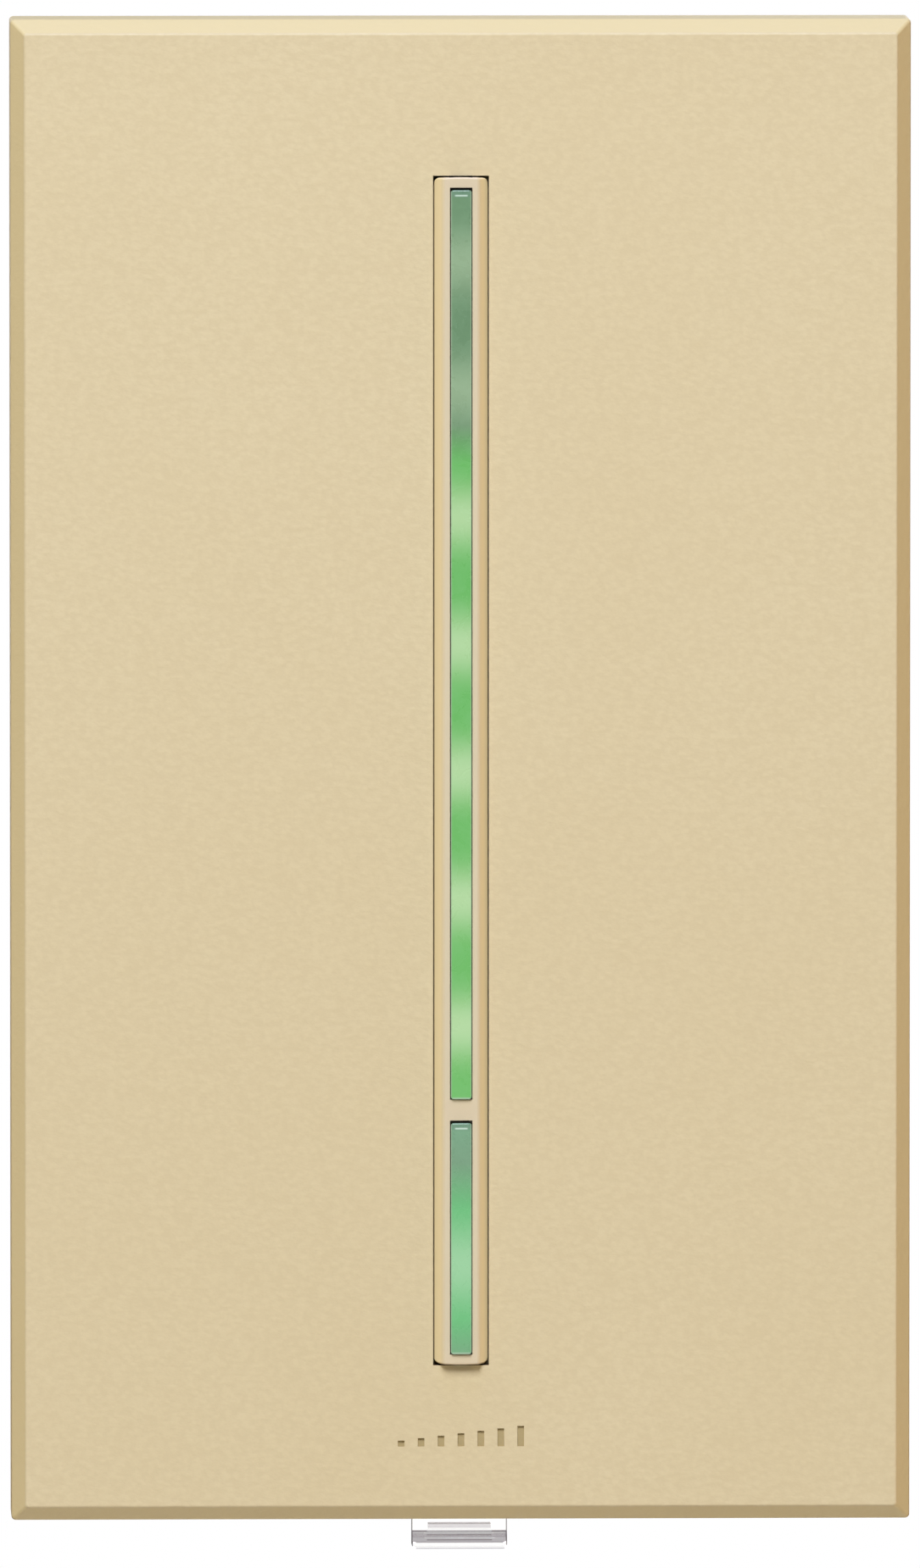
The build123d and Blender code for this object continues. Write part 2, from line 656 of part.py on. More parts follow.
adapter_screws = pan_screws(
    grid_places(adapter_screw_spacing), adapter_front, ADAPTER_SCREW, yoke_rear
)
adapter_screws.part.label = "adapter_screws"
export_step(adapter_screws.part, "parts/adapter_screws.step")

back_cover_screws = pan_screws(
    grid_places(boss_spacing), yoke_front, COVER_SCREW, COVER_SCREW_END
)
back_cover_screws.part.label = "back_cover_screws"
export_step(back_cover_screws.part, "parts/back_cover_screws.step")

triac_screw_end = -TRIAC_TAB_THICKNESS - NUT_THICKNESS - TRIAC_SCREW_TIP
triac_screw = pan_screws([triac_screw_place], yoke_front, TRIAC_SCREW, triac_screw_end)
triac_screw.part.label = "triac_screw"
export_step(triac_screw.part, "parts/triac_screw.step")

# fibre washers that keep the box screws on the yoke
with BuildPart() as captive_washers:
    with BuildSketch(at_height(yoke_rear - WASHER_THICKNESS)):
        with Locations(*box_screw_places):
            Circle(WASHER_RADIUS)
            Circle(BOX_SCREW_NECK + THREAD_CLEARANCE, mode=Mode.SUBTRACT)
    extrude(amount=WASHER_THICKNESS)
captive_washers.part.label = "captive_washers"
export_step(captive_washers.part, "parts/captive_washers.step")

# green ground screw, head on the wall-box side of the yoke
with BuildPart() as ground_screw:
    with BuildSketch(at_height(yoke_rear - GROUND_SCREW[1])):
        with Locations(ground_screw_place):
            RegularPolygon(GROUND_SCREW[0], 6, major_radius=True)
    extrude(amount=GROUND_SCREW[1])
    with BuildSketch(at_height(yoke_rear)):
        with Locations(ground_screw_place):
            Circle(GROUND_SCREW[2])
    extrude(amount=YOKE_THICKNESS)
    with BuildSketch(at_height(yoke_rear - GROUND_SCREW[1])):
        with Locations(ground_screw_place):
            Rectangle(2 * GROUND_SCREW[0], DRIVE_WIDTH)
    extrude(amount=DRIVE_WIDTH, mode=Mode.SUBTRACT)
ground_screw.part.label = "ground_screw"
export_step(ground_screw.part, "parts/ground_screw.step")


# ---------------------------------------------------------------- bezel with the touch rail
with BuildPart() as bezel:
    # rail outline: arched ends and rounded corners
    with BuildSketch(at_height(shoulder_rear)):
        with BuildLine():
            side = rail_end - RAIL_END_ARCH
            half = RAIL_WIDTH / 2
            Line((-half, -side), (-half, side))
            ThreePointArc((-half, side), (0, rail_end), (half, side))
            Line((half, side), (half, -side))
            ThreePointArc((half, -side), (0, -rail_end), (-half, -side))
        make_face()
        fillet(vertices(), RAIL_CORNER)
    extrude(amount=rail_front - shoulder_rear)
    # sloping sides
    slope_low = rail_front - RAIL_SLOPE_DEPTH
    with BuildSketch(Plane.XY.offset(-shoulder_end)):
        for side in (-1, 1):
            with BuildLine():
                Polyline(
                    (side * RAIL_FLAT / 2, -rail_front),
                    (side * RAIL_WIDTH, -rail_front),
                    (side * RAIL_WIDTH, -slope_low),
                    (side * RAIL_WIDTH / 2, -slope_low),
                    close=True,
                )
            make_face()
    extrude(amount=2 * shoulder_end, mode=Mode.SUBTRACT)
    crest = bezel.faces().sort_by(Axis.Y)[0].edges()
    fillet(crest.filter_by(Axis.Z), RAIL_CREST)
    ends = bezel.edges().filter_by_position(Axis.Y, -rail_front, -slope_low)
    fillet(ends.filter_by(lambda e: e.bounding_box().size.Z < RAIL_WIDTH), RAIL_END_EDGE)
    # shoulder, screw ears and skirt behind the faceplate
    with BuildSketch(at_height(shoulder_rear)):
        Rectangle(2 * SHOULDER_HALF_WIDTH, 2 * shoulder_end)
        for side in (-1, 1):
            with Locations((0, side * MODULE_SCREW_Z)):
                SlotOverall(2 * MODULE_SCREW_X + EAR_WIDTH, EAR_WIDTH)
    extrude(amount=SHOULDER_THICKNESS)
    with BuildSketch(at_height(adapter_front)):
        Rectangle(2 * SHOULDER_HALF_WIDTH, 2 * shoulder_end)
        Rectangle(2 * skirt_inner_half, 2 * skirt_inner_end, mode=Mode.SUBTRACT)
    extrude(amount=shoulder_rear - adapter_front)
    # cavities for the flanges, one for each bar, and the windows through the skin
    with BuildSketch(at_height(shoulder_rear)):
        for window in (upper_window, lower_window):
            low = window[0] - FLANGE_OVERLAP - FLANGE_CLEARANCE
            high = window[1] + FLANGE_OVERLAP + FLANGE_CLEARANCE
            span(-cavity_width / 2, cavity_width / 2, low, high)
    extrude(amount=skin_rear - shoulder_rear, mode=Mode.SUBTRACT)
    with BuildSketch(at_height(skin_rear)):
        for window in (upper_window, lower_window):
            span(-WINDOW_WIDTH / 2, WINDOW_WIDTH / 2, *window)
    extrude(amount=RAIL_SKIN, mode=Mode.SUBTRACT)
    # countersunk holes in the ears
    with Locations(*[Location((x, -shoulder_front, z), (90, 0, 0)) for x, z in ear_places]):
        CounterSinkHole(
            MODULE_SCREW_SHANK + THREAD_CLEARANCE,
            module_screw_head + THREAD_CLEARANCE,
            depth=SHOULDER_THICKNESS,
            counter_sink_angle=90,
        )
bezel.part.label = "bezel"
export_step(bezel.part, "parts/bezel.step")

with BuildPart() as module_screws:
    with BuildSketch(at_height(adapter_front)):
        with Locations(*ear_places):
            Circle(MODULE_SCREW_SHANK)
    extrude(amount=shoulder_front - adapter_front)
    cone_height = module_screw_head - MODULE_SCREW_SHANK
    places = [Location((x, -shoulder_front + cone_height / 2, z), (90, 0, 0)) for x, z in ear_places]
    with Locations(*places):
        Cone(MODULE_SCREW_SHANK, module_screw_head, cone_height)
    with BuildSketch(at_height(shoulder_front - MODULE_SCREW_SHANK / 2)):
        with Locations(*ear_places):
            Rectangle(module_screw_head, DRIVE_WIDTH / 2)
            Rectangle(DRIVE_WIDTH / 2, module_screw_head)
    extrude(amount=MODULE_SCREW_SHANK, mode=Mode.SUBTRACT)
module_screws.part.label = "module_screws"
export_step(module_screws.part, "parts/module_screws.step")


# ---------------------------------------------------------------- light bars
upper_light_bar = light_bar(upper_window, upper_post_places)
upper_light_bar.part.label = "upper_light_bar"
export_step(upper_light_bar.part, "parts/upper_light_bar.step")

lower_light_bar = light_bar(lower_window, lower_post_places)
lower_light_bar.part.label = "lower_light_bar"
export_step(lower_light_bar.part, "parts/lower_light_bar.step")

# silicone pads that push the bars back out
with BuildPart() as upper_return_pads:
    with BuildSketch(at_height(film_front)):
        with Locations(*[(0, z) for z in upper_pad_places]):
            Rectangle(BAR_POST_WIDTH, PAD_LENGTH)
    extrude(amount=flange_rear - film_front)
upper_return_pads.part.label = "upper_return_pads"
export_step(upper_return_pads.part, "parts/upper_return_pads.step")

with BuildPart() as lower_return_pads:
    with BuildSketch(at_height(film_front)):
        with Locations(*[(0, z) for z in lower_pad_places]):
            Rectangle(BAR_POST_WIDTH, PAD_LENGTH)
    extrude(amount=flange_rear - film_front)
lower_return_pads.part.label = "lower_return_pads"
export_step(lower_return_pads.part, "parts/lower_return_pads.step")


# ---------------------------------------------------------------- sensor and LED board
with BuildPart() as sensor_front_film:
    with BuildSketch(at_height(mask_front + 2 * FILM_THICKNESS)):
        Rectangle(FILM_WIDTH, 2 * rail_end)
    extrude(amount=FILM_THICKNESS)
sensor_front_film.part.label = "sensor_front_film"
export_step(sensor_front_film.part, "parts/sensor_front_film.step")

with BuildPart() as sensor_spacer:
    with BuildSketch(at_height(mask_front + FILM_THICKNESS)):
        Rectangle(FILM_WIDTH, 2 * rail_end)
        for window in (upper_window, lower_window):
            span(-SPACER_WINDOW_WIDTH / 2, SPACER_WINDOW_WIDTH / 2, *window, mode=Mode.SUBTRACT)
    extrude(amount=FILM_THICKNESS)
sensor_spacer.part.label = "sensor_spacer"
export_step(sensor_spacer.part, "parts/sensor_spacer.step")

with BuildPart() as sensor_rear_film:
    with BuildSketch(at_height(mask_front)):
        Rectangle(FILM_WIDTH, 2 * rail_end)
    extrude(amount=FILM_THICKNESS)
sensor_rear_film.part.label = "sensor_rear_film"
export_step(sensor_rear_film.part, "parts/sensor_rear_film.step")

# tail that runs off the rear film and turns back into the connector
with BuildPart() as sensor_flex_tail:
    with BuildSketch(at_height(mask_front)):
        span(-FLEX_WIDTH / 2, FLEX_WIDTH / 2, flex_z, -rail_end)
    extrude(amount=FLEX_THICKNESS)
    with BuildSketch(at_height(mask_front - FLEX_DROP)):
        span(-FLEX_WIDTH / 2, FLEX_WIDTH / 2, flex_z, flex_z + FLEX_THICKNESS)
    extrude(amount=FLEX_DROP)
    bend = sensor_flex_tail.edges().filter_by(Axis.X).sort_by(Axis.Y)[:2].sort_by(Axis.Z)[0]
    fillet(bend, FLEX_THICKNESS / 2)
sensor_flex_tail.part.label = "sensor_flex_tail"
export_step(sensor_flex_tail.part, "parts/sensor_flex_tail.step")

with BuildPart() as flex_connector:
    with BuildSketch(at_height(board_front)):
        with Locations((0, flex_z + FLEX_THICKNESS / 2)):
            Rectangle(FLEX_CONNECTOR_WIDTH, FLEX_CONNECTOR_LENGTH)
    extrude(amount=FLEX_CONNECTOR_THICKNESS)
    with BuildSketch(at_height(mask_front - FLEX_DROP - FLEX_SLOT_CLEARANCE)):
        with Locations((0, flex_z + FLEX_THICKNESS / 2)):
            Rectangle(
                FLEX_WIDTH + 2 * FLEX_SLOT_CLEARANCE,
                FLEX_THICKNESS + 2 * FLEX_SLOT_CLEARANCE,
            )
    extrude(amount=FLEX_CONNECTOR_THICKNESS, mode=Mode.SUBTRACT)
flex_connector.part.label = "flex_connector"
export_step(flex_connector.part, "parts/flex_connector.step")

with BuildPart() as light_mask:
    with BuildSketch(at_height(board_front)):
        Rectangle(2 * module_half - 2 * MODULE_CLEARANCE, 2 * rail_end)
        with Locations(*[(0, z) for z in upper_led_places + [lower_led_place]]):
            Rectangle(MASK_WINDOW_WIDTH, MASK_WINDOW_LENGTH, mode=Mode.SUBTRACT)
    extrude(amount=MASK_THICKNESS)
light_mask.part.label = "light_mask"
export_step(light_mask.part, "parts/light_mask.step")

with BuildPart() as upper_leds:
    with BuildSketch(at_height(board_front)):
        with Locations(*[(0, z) for z in upper_led_places]):
            Rectangle(LED_WIDTH, LED_LENGTH)
    extrude(amount=LED_THICKNESS)
upper_leds.part.label = "upper_leds"
export_step(upper_leds.part, "parts/upper_leds.step")

with BuildPart() as lower_led:
    with BuildSketch(at_height(board_front)):
        with Locations((0, lower_led_place)):
            Rectangle(LED_WIDTH, LED_LENGTH)
    extrude(amount=LED_THICKNESS)
lower_led.part.label = "lower_led"
export_step(lower_led.part, "parts/lower_led.step")

header_places = [((i - (HEADER_PINS - 1) / 2) * HEADER_PITCH, HEADER_Z) for i in range(HEADER_PINS)]
pin_hole = HEADER_PIN + PIN_CLEARANCE

with BuildPart() as led_board:
    with BuildSketch(at_height(base_front)):
        Rectangle(2 * module_half, 2 * module_end)
        with Locations(*header_places):
            Rectangle(pin_hole, pin_hole, mode=Mode.SUBTRACT)
    extrude(amount=LED_BOARD_THICKNESS)
led_board.part.label = "led_board"
export_step(led_board.part, "parts/led_board.step")

with BuildPart() as module_base:
    with BuildSketch(at_height(adapter_front)):
        Rectangle(2 * module_half, 2 * module_end)
        with Locations(*box_screw_places):
            Circle(BOX_SCREW[0] + HEAD_CLEARANCE, mode=Mode.SUBTRACT)
        with Locations(*header_places):
            Rectangle(pin_hole, pin_hole, mode=Mode.SUBTRACT)
    extrude(amount=MODULE_BASE_THICKNESS)
module_base.part.label = "module_base"
export_step(module_base.part, "parts/module_base.step")

with BuildPart() as module_header:
    with BuildSketch(at_height(adapter_front - HEADER_THICKNESS)):
        with Locations((0, HEADER_Z)):
            Rectangle(HEADER_WIDTH, HEADER_LENGTH)
        with Locations(*header_places):
            Rectangle(HEADER_PIN, HEADER_PIN, mode=Mode.SUBTRACT)
    extrude(amount=HEADER_THICKNESS)
module_header.part.label = "module_header"
export_step(module_header.part, "parts/module_header.step")

with BuildPart() as header_pins:
    with BuildSketch(at_height(HEADER_PIN_END)):
        with Locations(*header_places):
            Rectangle(HEADER_PIN, HEADER_PIN)
    extrude(amount=board_front - HEADER_PIN_END)
header_pins.part.label = "header_pins"
export_step(header_pins.part, "parts/header_pins.step")


# ---------------------------------------------------------------- wall-box housing
triac_bottom = TRIAC_HOLE_Z - TRIAC_TAB_BELOW - TRIAC_BODY_LENGTH
triac_top = TRIAC_HOLE_Z + TRIAC_TAB_ABOVE
triac_lead_z = triac_bottom - TRIAC_LEAD_RUN
triac_half = TRIAC_WIDTH / 2
pad_half = triac_half + TRIAC_PAD_MARGIN
leads_x = [i * TRIAC_LEAD_PITCH for i in (-1, 0, 1)]

with BuildPart() as insulating_sheet:
    with BuildSketch(at_height(0)):
        RectangleRounded(COVER_WIDTH, COVER_HEIGHT, COVER_CORNER)
        with Locations(*grid_places(boss_spacing)):
            Circle(COVER_SCREW[2] + HOLE_CLEARANCE, mode=Mode.SUBTRACT)
        with Locations((0, HEADER_Z)):
            Rectangle(*header_window, mode=Mode.SUBTRACT)
        span(*cam_slot_x, *cam_slot_z, mode=Mode.SUBTRACT)
        window_half = pad_half + TRIAC_PAD_MARGIN
        window_low = triac_bottom - 2 * TRIAC_PAD_MARGIN
        window_high = triac_top + 2 * TRIAC_PAD_MARGIN
        span(-window_half, window_half, window_low, window_high, mode=Mode.SUBTRACT)
    extrude(amount=YOKE_STANDOFF)
insulating_sheet.part.label = "insulating_sheet"
export_step(insulating_sheet.part, "parts/insulating_sheet.step")

with BuildPart() as back_cover:
    with BuildSketch(at_height(-COVER_DEPTH)):
        RectangleRounded(COVER_WIDTH, COVER_HEIGHT, COVER_CORNER)
    extrude(amount=COVER_DEPTH)
    fillet(back_cover.faces().sort_by(Axis.Y)[-1].edges(), COVER_EDGE)
    with BuildSketch(at_height(cover_floor)):
        RectangleRounded(2 * cover_inner_x, 2 * cover_inner_z, COVER_CORNER - COVER_WALL)
    extrude(amount=-cover_floor, mode=Mode.SUBTRACT)
    # screw bosses, ribs that carry the board, and the walls of the terminal pockets
    with BuildSketch(at_height(cover_floor)):
        with Locations(*grid_places(boss_spacing)):
            Circle(COVER_BOSS_RADIUS)
    extrude(amount=-cover_floor)
    with BuildSketch(at_height(cover_floor)):
        for side in (-1, 1):
            with Locations((0, side * (cover_inner_z - BOARD_RIB / 2))):
                Rectangle(2 * BOARD_RIB, BOARD_RIB)
            rib_x = side * (cover_inner_x - BOARD_RIB / 2)
            with Locations((rib_x, BOARD_RIB_Z), (rib_x, -BOARD_RIB_Z)):
                Rectangle(BOARD_RIB, BOARD_RIB)
    extrude(amount=power_rear - cover_floor)
    with BuildSketch(at_height(pocket_front - POCKET_HEIGHT - POCKET_WALL)):
        for side in (-1, 1):
            inner_x = side * (pocket_floor_x - POCKET_WALL)
            with Locations(((inner_x + side * COVER_WIDTH / 2) / 2, 0)):
                Rectangle(POCKET_DEPTH + POCKET_WALL, POCKET_LENGTH + 2 * POCKET_WALL)
    extrude(amount=POCKET_HEIGHT + 2 * POCKET_WALL)
    with BuildSketch(at_height(pocket_front - POCKET_HEIGHT)):
        for side in (-1, 1):
            with Locations((side * (COVER_WIDTH - POCKET_DEPTH) / 2, 0)):
                Rectangle(POCKET_DEPTH, POCKET_LENGTH)
    extrude(amount=POCKET_HEIGHT, mode=Mode.SUBTRACT)
    # openings for the terminal plates and their legs
    with BuildSketch(at_height(pocket_centre - TERMINAL_HEIGHT / 2 - THREAD_CLEARANCE)):
        for side in (-1, 1):
            with Locations((side * (pocket_floor_x - POCKET_WALL / 2), 0)):
                Rectangle(POCKET_WALL, TERMINAL_LENGTH + 2 * THREAD_CLEARANCE)
    extrude(amount=TERMINAL_HEIGHT + 2 * THREAD_CLEARANCE, mode=Mode.SUBTRACT)
    with BuildSketch(at_height(pocket_centre)):
        for side in (-1, 1):
            with Locations((side * (pocket_floor_x - POCKET_WALL / 2), 0)):
                Rectangle(POCKET_WALL, TERMINAL_LEG_WIDTH + 2 * THREAD_CLEARANCE)
    extrude(amount=power_rear - pocket_centre, mode=Mode.SUBTRACT)
    # pilot holes for the cover screws, and the label recess
    with BuildSketch(at_height(COVER_SCREW_END - HEAD_CLEARANCE)):
        with Locations(*grid_places(boss_spacing)):
            Circle(COVER_SCREW[2] + THREAD_CLEARANCE)
    extrude(amount=HEAD_CLEARANCE - COVER_SCREW_END, mode=Mode.SUBTRACT)
    with BuildSketch(at_height(-COVER_DEPTH)):
        RectangleRounded(LABEL_WIDTH, LABEL_HEIGHT, COVER_EDGE)
    extrude(amount=LABEL_DEPTH, mode=Mode.SUBTRACT)
back_cover.part.label = "back_cover"
export_step(back_cover.part, "parts/back_cover.step")

choke_leads = [
    (CHOKE_CENTRE[0] + dx, CHOKE_CENTRE[1] - CHOKE_OUTER)
    for dx in (-CHOKE_LEAD_PITCH / 2, CHOKE_LEAD_PITCH / 2)
]
film_leads = [
    (FILM_CAPACITOR_CENTRE[0], FILM_CAPACITOR_CENTRE[1] + dz)
    for dz in (-FILM_LEAD_PITCH / 2, FILM_LEAD_PITCH / 2)
]
electrolytic_leads = [
    (ELECTROLYTIC_CENTRE[0] + dx, ELECTROLYTIC_CENTRE[1])
    for dx in (-RADIAL_LEAD_PITCH / 2, RADIAL_LEAD_PITCH / 2)
]
varistor_leads = [
    (VARISTOR_CENTRE[0] + dx, VARISTOR_CENTRE[1])
    for dx in (-RADIAL_LEAD_PITCH / 2, RADIAL_LEAD_PITCH / 2)
]
component_lead_places = film_leads + electrolytic_leads + varistor_leads + choke_leads

with BuildPart() as power_board:
    with BuildSketch(at_height(power_rear)):
        Rectangle(2 * (cover_inner_x - BOARD_CLEARANCE), 2 * (cover_inner_z - BOARD_CLEARANCE))
        with Locations(*grid_places(boss_spacing)):
            Circle(COVER_BOSS_RADIUS + BOARD_CLEARANCE, mode=Mode.SUBTRACT)
        for side in (-1, 1):
            with Locations((side * (pocket_floor_x - TERMINAL_THICKNESS / 2), 0)):
                Rectangle(
                    TERMINAL_THICKNESS + 2 * LEAD_CLEARANCE,
                    TERMINAL_LEG_WIDTH + 2 * LEAD_CLEARANCE,
                    mode=Mode.SUBTRACT,
                )
        with Locations(*[(x, triac_lead_z + TRIAC_LEAD_THICKNESS / 2) for x in leads_x]):
            Circle(TRIAC_LEAD_WIDTH / 2 + LEAD_CLEARANCE, mode=Mode.SUBTRACT)
        with Locations(*component_lead_places):
            Circle(LEAD_RADIUS + THREAD_CLEARANCE, mode=Mode.SUBTRACT)
    extrude(amount=POWER_BOARD_THICKNESS)
power_board.part.label = "power_board"
export_step(power_board.part, "parts/power_board.step")


# ---------------------------------------------------------------- line and load terminals
def terminal_plate(side):
    """Return one brass terminal: plate in its pocket's floor, leg through the board."""
    plate_x = side * (pocket_floor_x - TERMINAL_THICKNESS / 2)
    with BuildPart() as terminal:
        with BuildSketch(at_height(pocket_centre - TERMINAL_HEIGHT / 2)):
            with Locations((plate_x, 0)):
                Rectangle(TERMINAL_THICKNESS, TERMINAL_LENGTH)
        extrude(amount=TERMINAL_HEIGHT)
        with BuildSketch(at_height(pocket_centre)):
            with Locations((plate_x, 0)):
                Rectangle(TERMINAL_THICKNESS, TERMINAL_LEG_WIDTH)
        extrude(amount=power_front + TERMINAL_LEG_PROUD - pocket_centre)
        with BuildSketch(Plane.YZ):
            with Locations((-pocket_centre, 0)):
                Circle(TERMINAL_SCREW_SHANK + THREAD_CLEARANCE)
        extrude(amount=COVER_WIDTH / 2, both=True, mode=Mode.SUBTRACT)
    return terminal


line_terminal = terminal_plate(-1)
line_terminal.part.label = "line_terminal"
export_step(line_terminal.part, "parts/line_terminal.step")

load_terminal = terminal_plate(1)
load_terminal.part.label = "load_terminal"
export_step(load_terminal.part, "parts/load_terminal.step")

# square clamp plates that press a bare wire against the terminal
with BuildPart() as terminal_clamps:
    for side in (-1, 1):
        with BuildSketch(Plane.YZ.offset(side * clamp_rear_x)):
            with Locations((-pocket_centre, 0)):
                Rectangle(CLAMP_SIZE, CLAMP_SIZE)
                Circle(TERMINAL_SCREW_SHANK + HOLE_CLEARANCE, mode=Mode.SUBTRACT)
        extrude(amount=side * CLAMP_THICKNESS)
terminal_clamps.part.label = "terminal_clamps"
export_step(terminal_clamps.part, "parts/terminal_clamps.step")

with BuildPart() as terminal_screws:
    for side in (-1, 1):
        with BuildSketch(Plane.YZ.offset(side * clamp_front_x)):
            with Locations((-pocket_centre, 0)):
                Circle(TERMINAL_SCREW_HEAD)
        extrude(amount=side * TERMINAL_SCREW_HEAD_LENGTH)
        with BuildSketch(Plane.YZ.offset(side * clamp_front_x)):
            with Locations((-pocket_centre, 0)):
                Circle(TERMINAL_SCREW_SHANK)
        extrude(amount=-side * (CLAMP_THICKNESS + TERMINAL_THICKNESS + TERMINAL_SCREW_TAIL))
        slot_x = clamp_front_x + TERMINAL_SCREW_HEAD_LENGTH - DRIVE_WIDTH
        with BuildSketch(Plane.YZ.offset(side * slot_x)):
            with Locations((-pocket_centre, 0)):
                Rectangle(2 * TERMINAL_SCREW_HEAD, DRIVE_WIDTH)
        extrude(amount=side * DRIVE_WIDTH, mode=Mode.SUBTRACT)
terminal_screws.part.label = "terminal_screws"
export_step(terminal_screws.part, "parts/terminal_screws.step")


# ---------------------------------------------------------------- triac on the yoke
triac_front = yoke_rear - TRIAC_PAD_THICKNESS

with BuildPart() as triac_pad:
    with BuildSketch(at_height(triac_front)):
        pad_low = triac_bottom - TRIAC_PAD_MARGIN
        pad_high = triac_top + TRIAC_PAD_MARGIN
        span(-pad_half, pad_half, pad_low, pad_high)
        with Locations(triac_screw_place):
            Circle(TRIAC_SCREW[2] + HOLE_CLEARANCE, mode=Mode.SUBTRACT)
    extrude(amount=TRIAC_PAD_THICKNESS)
triac_pad.part.label = "triac_pad"
export_step(triac_pad.part, "parts/triac_pad.step")

with BuildPart() as triac:
    with BuildSketch(at_height(triac_front - TRIAC_TAB_THICKNESS)):
        span(-triac_half, triac_half, triac_bottom, triac_top)
        with Locations(triac_screw_place):
            Circle(TRIAC_SCREW[2] + THREAD_CLEARANCE, mode=Mode.SUBTRACT)
    extrude(amount=TRIAC_TAB_THICKNESS)
    with BuildSketch(at_height(triac_front - TRIAC_BODY_THICKNESS)):
        span(-triac_half, triac_half, triac_bottom, triac_bottom + TRIAC_BODY_LENGTH)
    extrude(amount=TRIAC_BODY_THICKNESS - TRIAC_TAB_THICKNESS)
    rear_edges = triac.faces().sort_by(Axis.Y)[-1].edges()
    chamfer(rear_edges, COMPONENT_EDGE)
    with BuildSketch(at_height(TRIAC_LEAD_HEIGHT)):
        for x in leads_x:
            half_lead = TRIAC_LEAD_WIDTH / 2
            span(x - half_lead, x + half_lead, triac_lead_z, triac_bottom)
    extrude(amount=TRIAC_LEAD_THICKNESS)
    with BuildSketch(at_height(power_rear - LEAD_STICK_OUT)):
        for x in leads_x:
            half_lead = TRIAC_LEAD_WIDTH / 2
            span(
                x - half_lead,
                x + half_lead,
                triac_lead_z,
                triac_lead_z + TRIAC_LEAD_THICKNESS,
            )
    extrude(amount=TRIAC_LEAD_HEIGHT + LEAD_STICK_OUT - power_rear)
triac.part.label = "triac"
export_step(triac.part, "parts/triac.step")

with BuildPart() as triac_nut:
    with BuildSketch(at_height(triac_front - TRIAC_TAB_THICKNESS - NUT_THICKNESS)):
        with Locations(triac_screw_place):
            RegularPolygon(NUT_ACROSS_FLATS / 2, 6, major_radius=False)
            Circle(TRIAC_SCREW[2] + THREAD_CLEARANCE, mode=Mode.SUBTRACT)
    extrude(amount=NUT_THICKNESS)
triac_nut.part.label = "triac_nut"
export_step(triac_nut.part, "parts/triac_nut.step")


# ---------------------------------------------------------------- power board components
lead_front = power_front + LEAD_STICK_OUT
winding_inner = CHOKE_INNER - WIRE_GAP
winding_outer = CHOKE_OUTER + WIRE_GAP
core_front = component_front - WIRE - WIRE_GAP
core_rear = core_front - CHOKE_THICKNESS

with BuildPart() as choke_core:
    with BuildSketch(at_height(core_rear)):
        with Locations(CHOKE_CENTRE):
            Circle(CHOKE_OUTER)
            Circle(CHOKE_INNER, mode=Mode.SUBTRACT)
    extrude(amount=CHOKE_THICKNESS)
    chamfer(choke_core.edges().filter_by(GeomType.CIRCLE), COMPONENT_EDGE)
choke_core.part.label = "choke_core"
export_step(choke_core.part, "parts/choke_core.step")

# winding as a band around the core, open over the gap between its two leads
with BuildPart() as choke_winding:
    with BuildSketch(at_height(core_rear - WIRE - WIRE_GAP)):
        with Locations(CHOKE_CENTRE):
            Circle(winding_outer + WIRE)
            Circle(winding_inner - WIRE, mode=Mode.SUBTRACT)
    extrude(amount=CHOKE_THICKNESS + 2 * (WIRE + WIRE_GAP))
    with BuildSketch(at_height(core_rear - WIRE_GAP)):
        with Locations(CHOKE_CENTRE):
            Circle(winding_outer)
            Circle(winding_inner, mode=Mode.SUBTRACT)
    extrude(amount=CHOKE_THICKNESS + 2 * WIRE_GAP, mode=Mode.SUBTRACT)
    with BuildSketch(at_height(core_rear - 2 * WIRE)):
        with BuildLine():
            reach = 2 * CHOKE_OUTER
            half_gap = radians((360 - WINDING_ARC) / 2)
            Polyline(
                CHOKE_CENTRE,
                (CHOKE_CENTRE[0] - reach * tan(half_gap), CHOKE_CENTRE[1] + reach),
                (CHOKE_CENTRE[0] + reach * tan(half_gap), CHOKE_CENTRE[1] + reach),
                close=True,
            )
        make_face()
    extrude(amount=CHOKE_THICKNESS + 4 * WIRE, mode=Mode.SUBTRACT)
    with BuildSketch(at_height(core_front + WIRE_GAP + WIRE / 2)):
        with Locations(*choke_leads):
            Circle(LEAD_RADIUS)
    extrude(amount=lead_front - (core_front + WIRE_GAP + WIRE / 2))
choke_winding.part.label = "choke_winding"
export_step(choke_winding.part, "parts/choke_winding.step")

with BuildPart() as film_capacitor:
    with BuildSketch(at_height(component_front - FILM_CAPACITOR[2])):
        with Locations(FILM_CAPACITOR_CENTRE):
            Rectangle(FILM_CAPACITOR[0], FILM_CAPACITOR[1])
    extrude(amount=FILM_CAPACITOR[2])
    fillet(film_capacitor.edges(), COMPONENT_EDGE)
    with BuildSketch(at_height(component_front - COMPONENT_EDGE)):
        with Locations(*film_leads):
            Circle(LEAD_RADIUS)
    extrude(amount=lead_front - (component_front - COMPONENT_EDGE))
film_capacitor.part.label = "film_capacitor"
export_step(film_capacitor.part, "parts/film_capacitor.step")

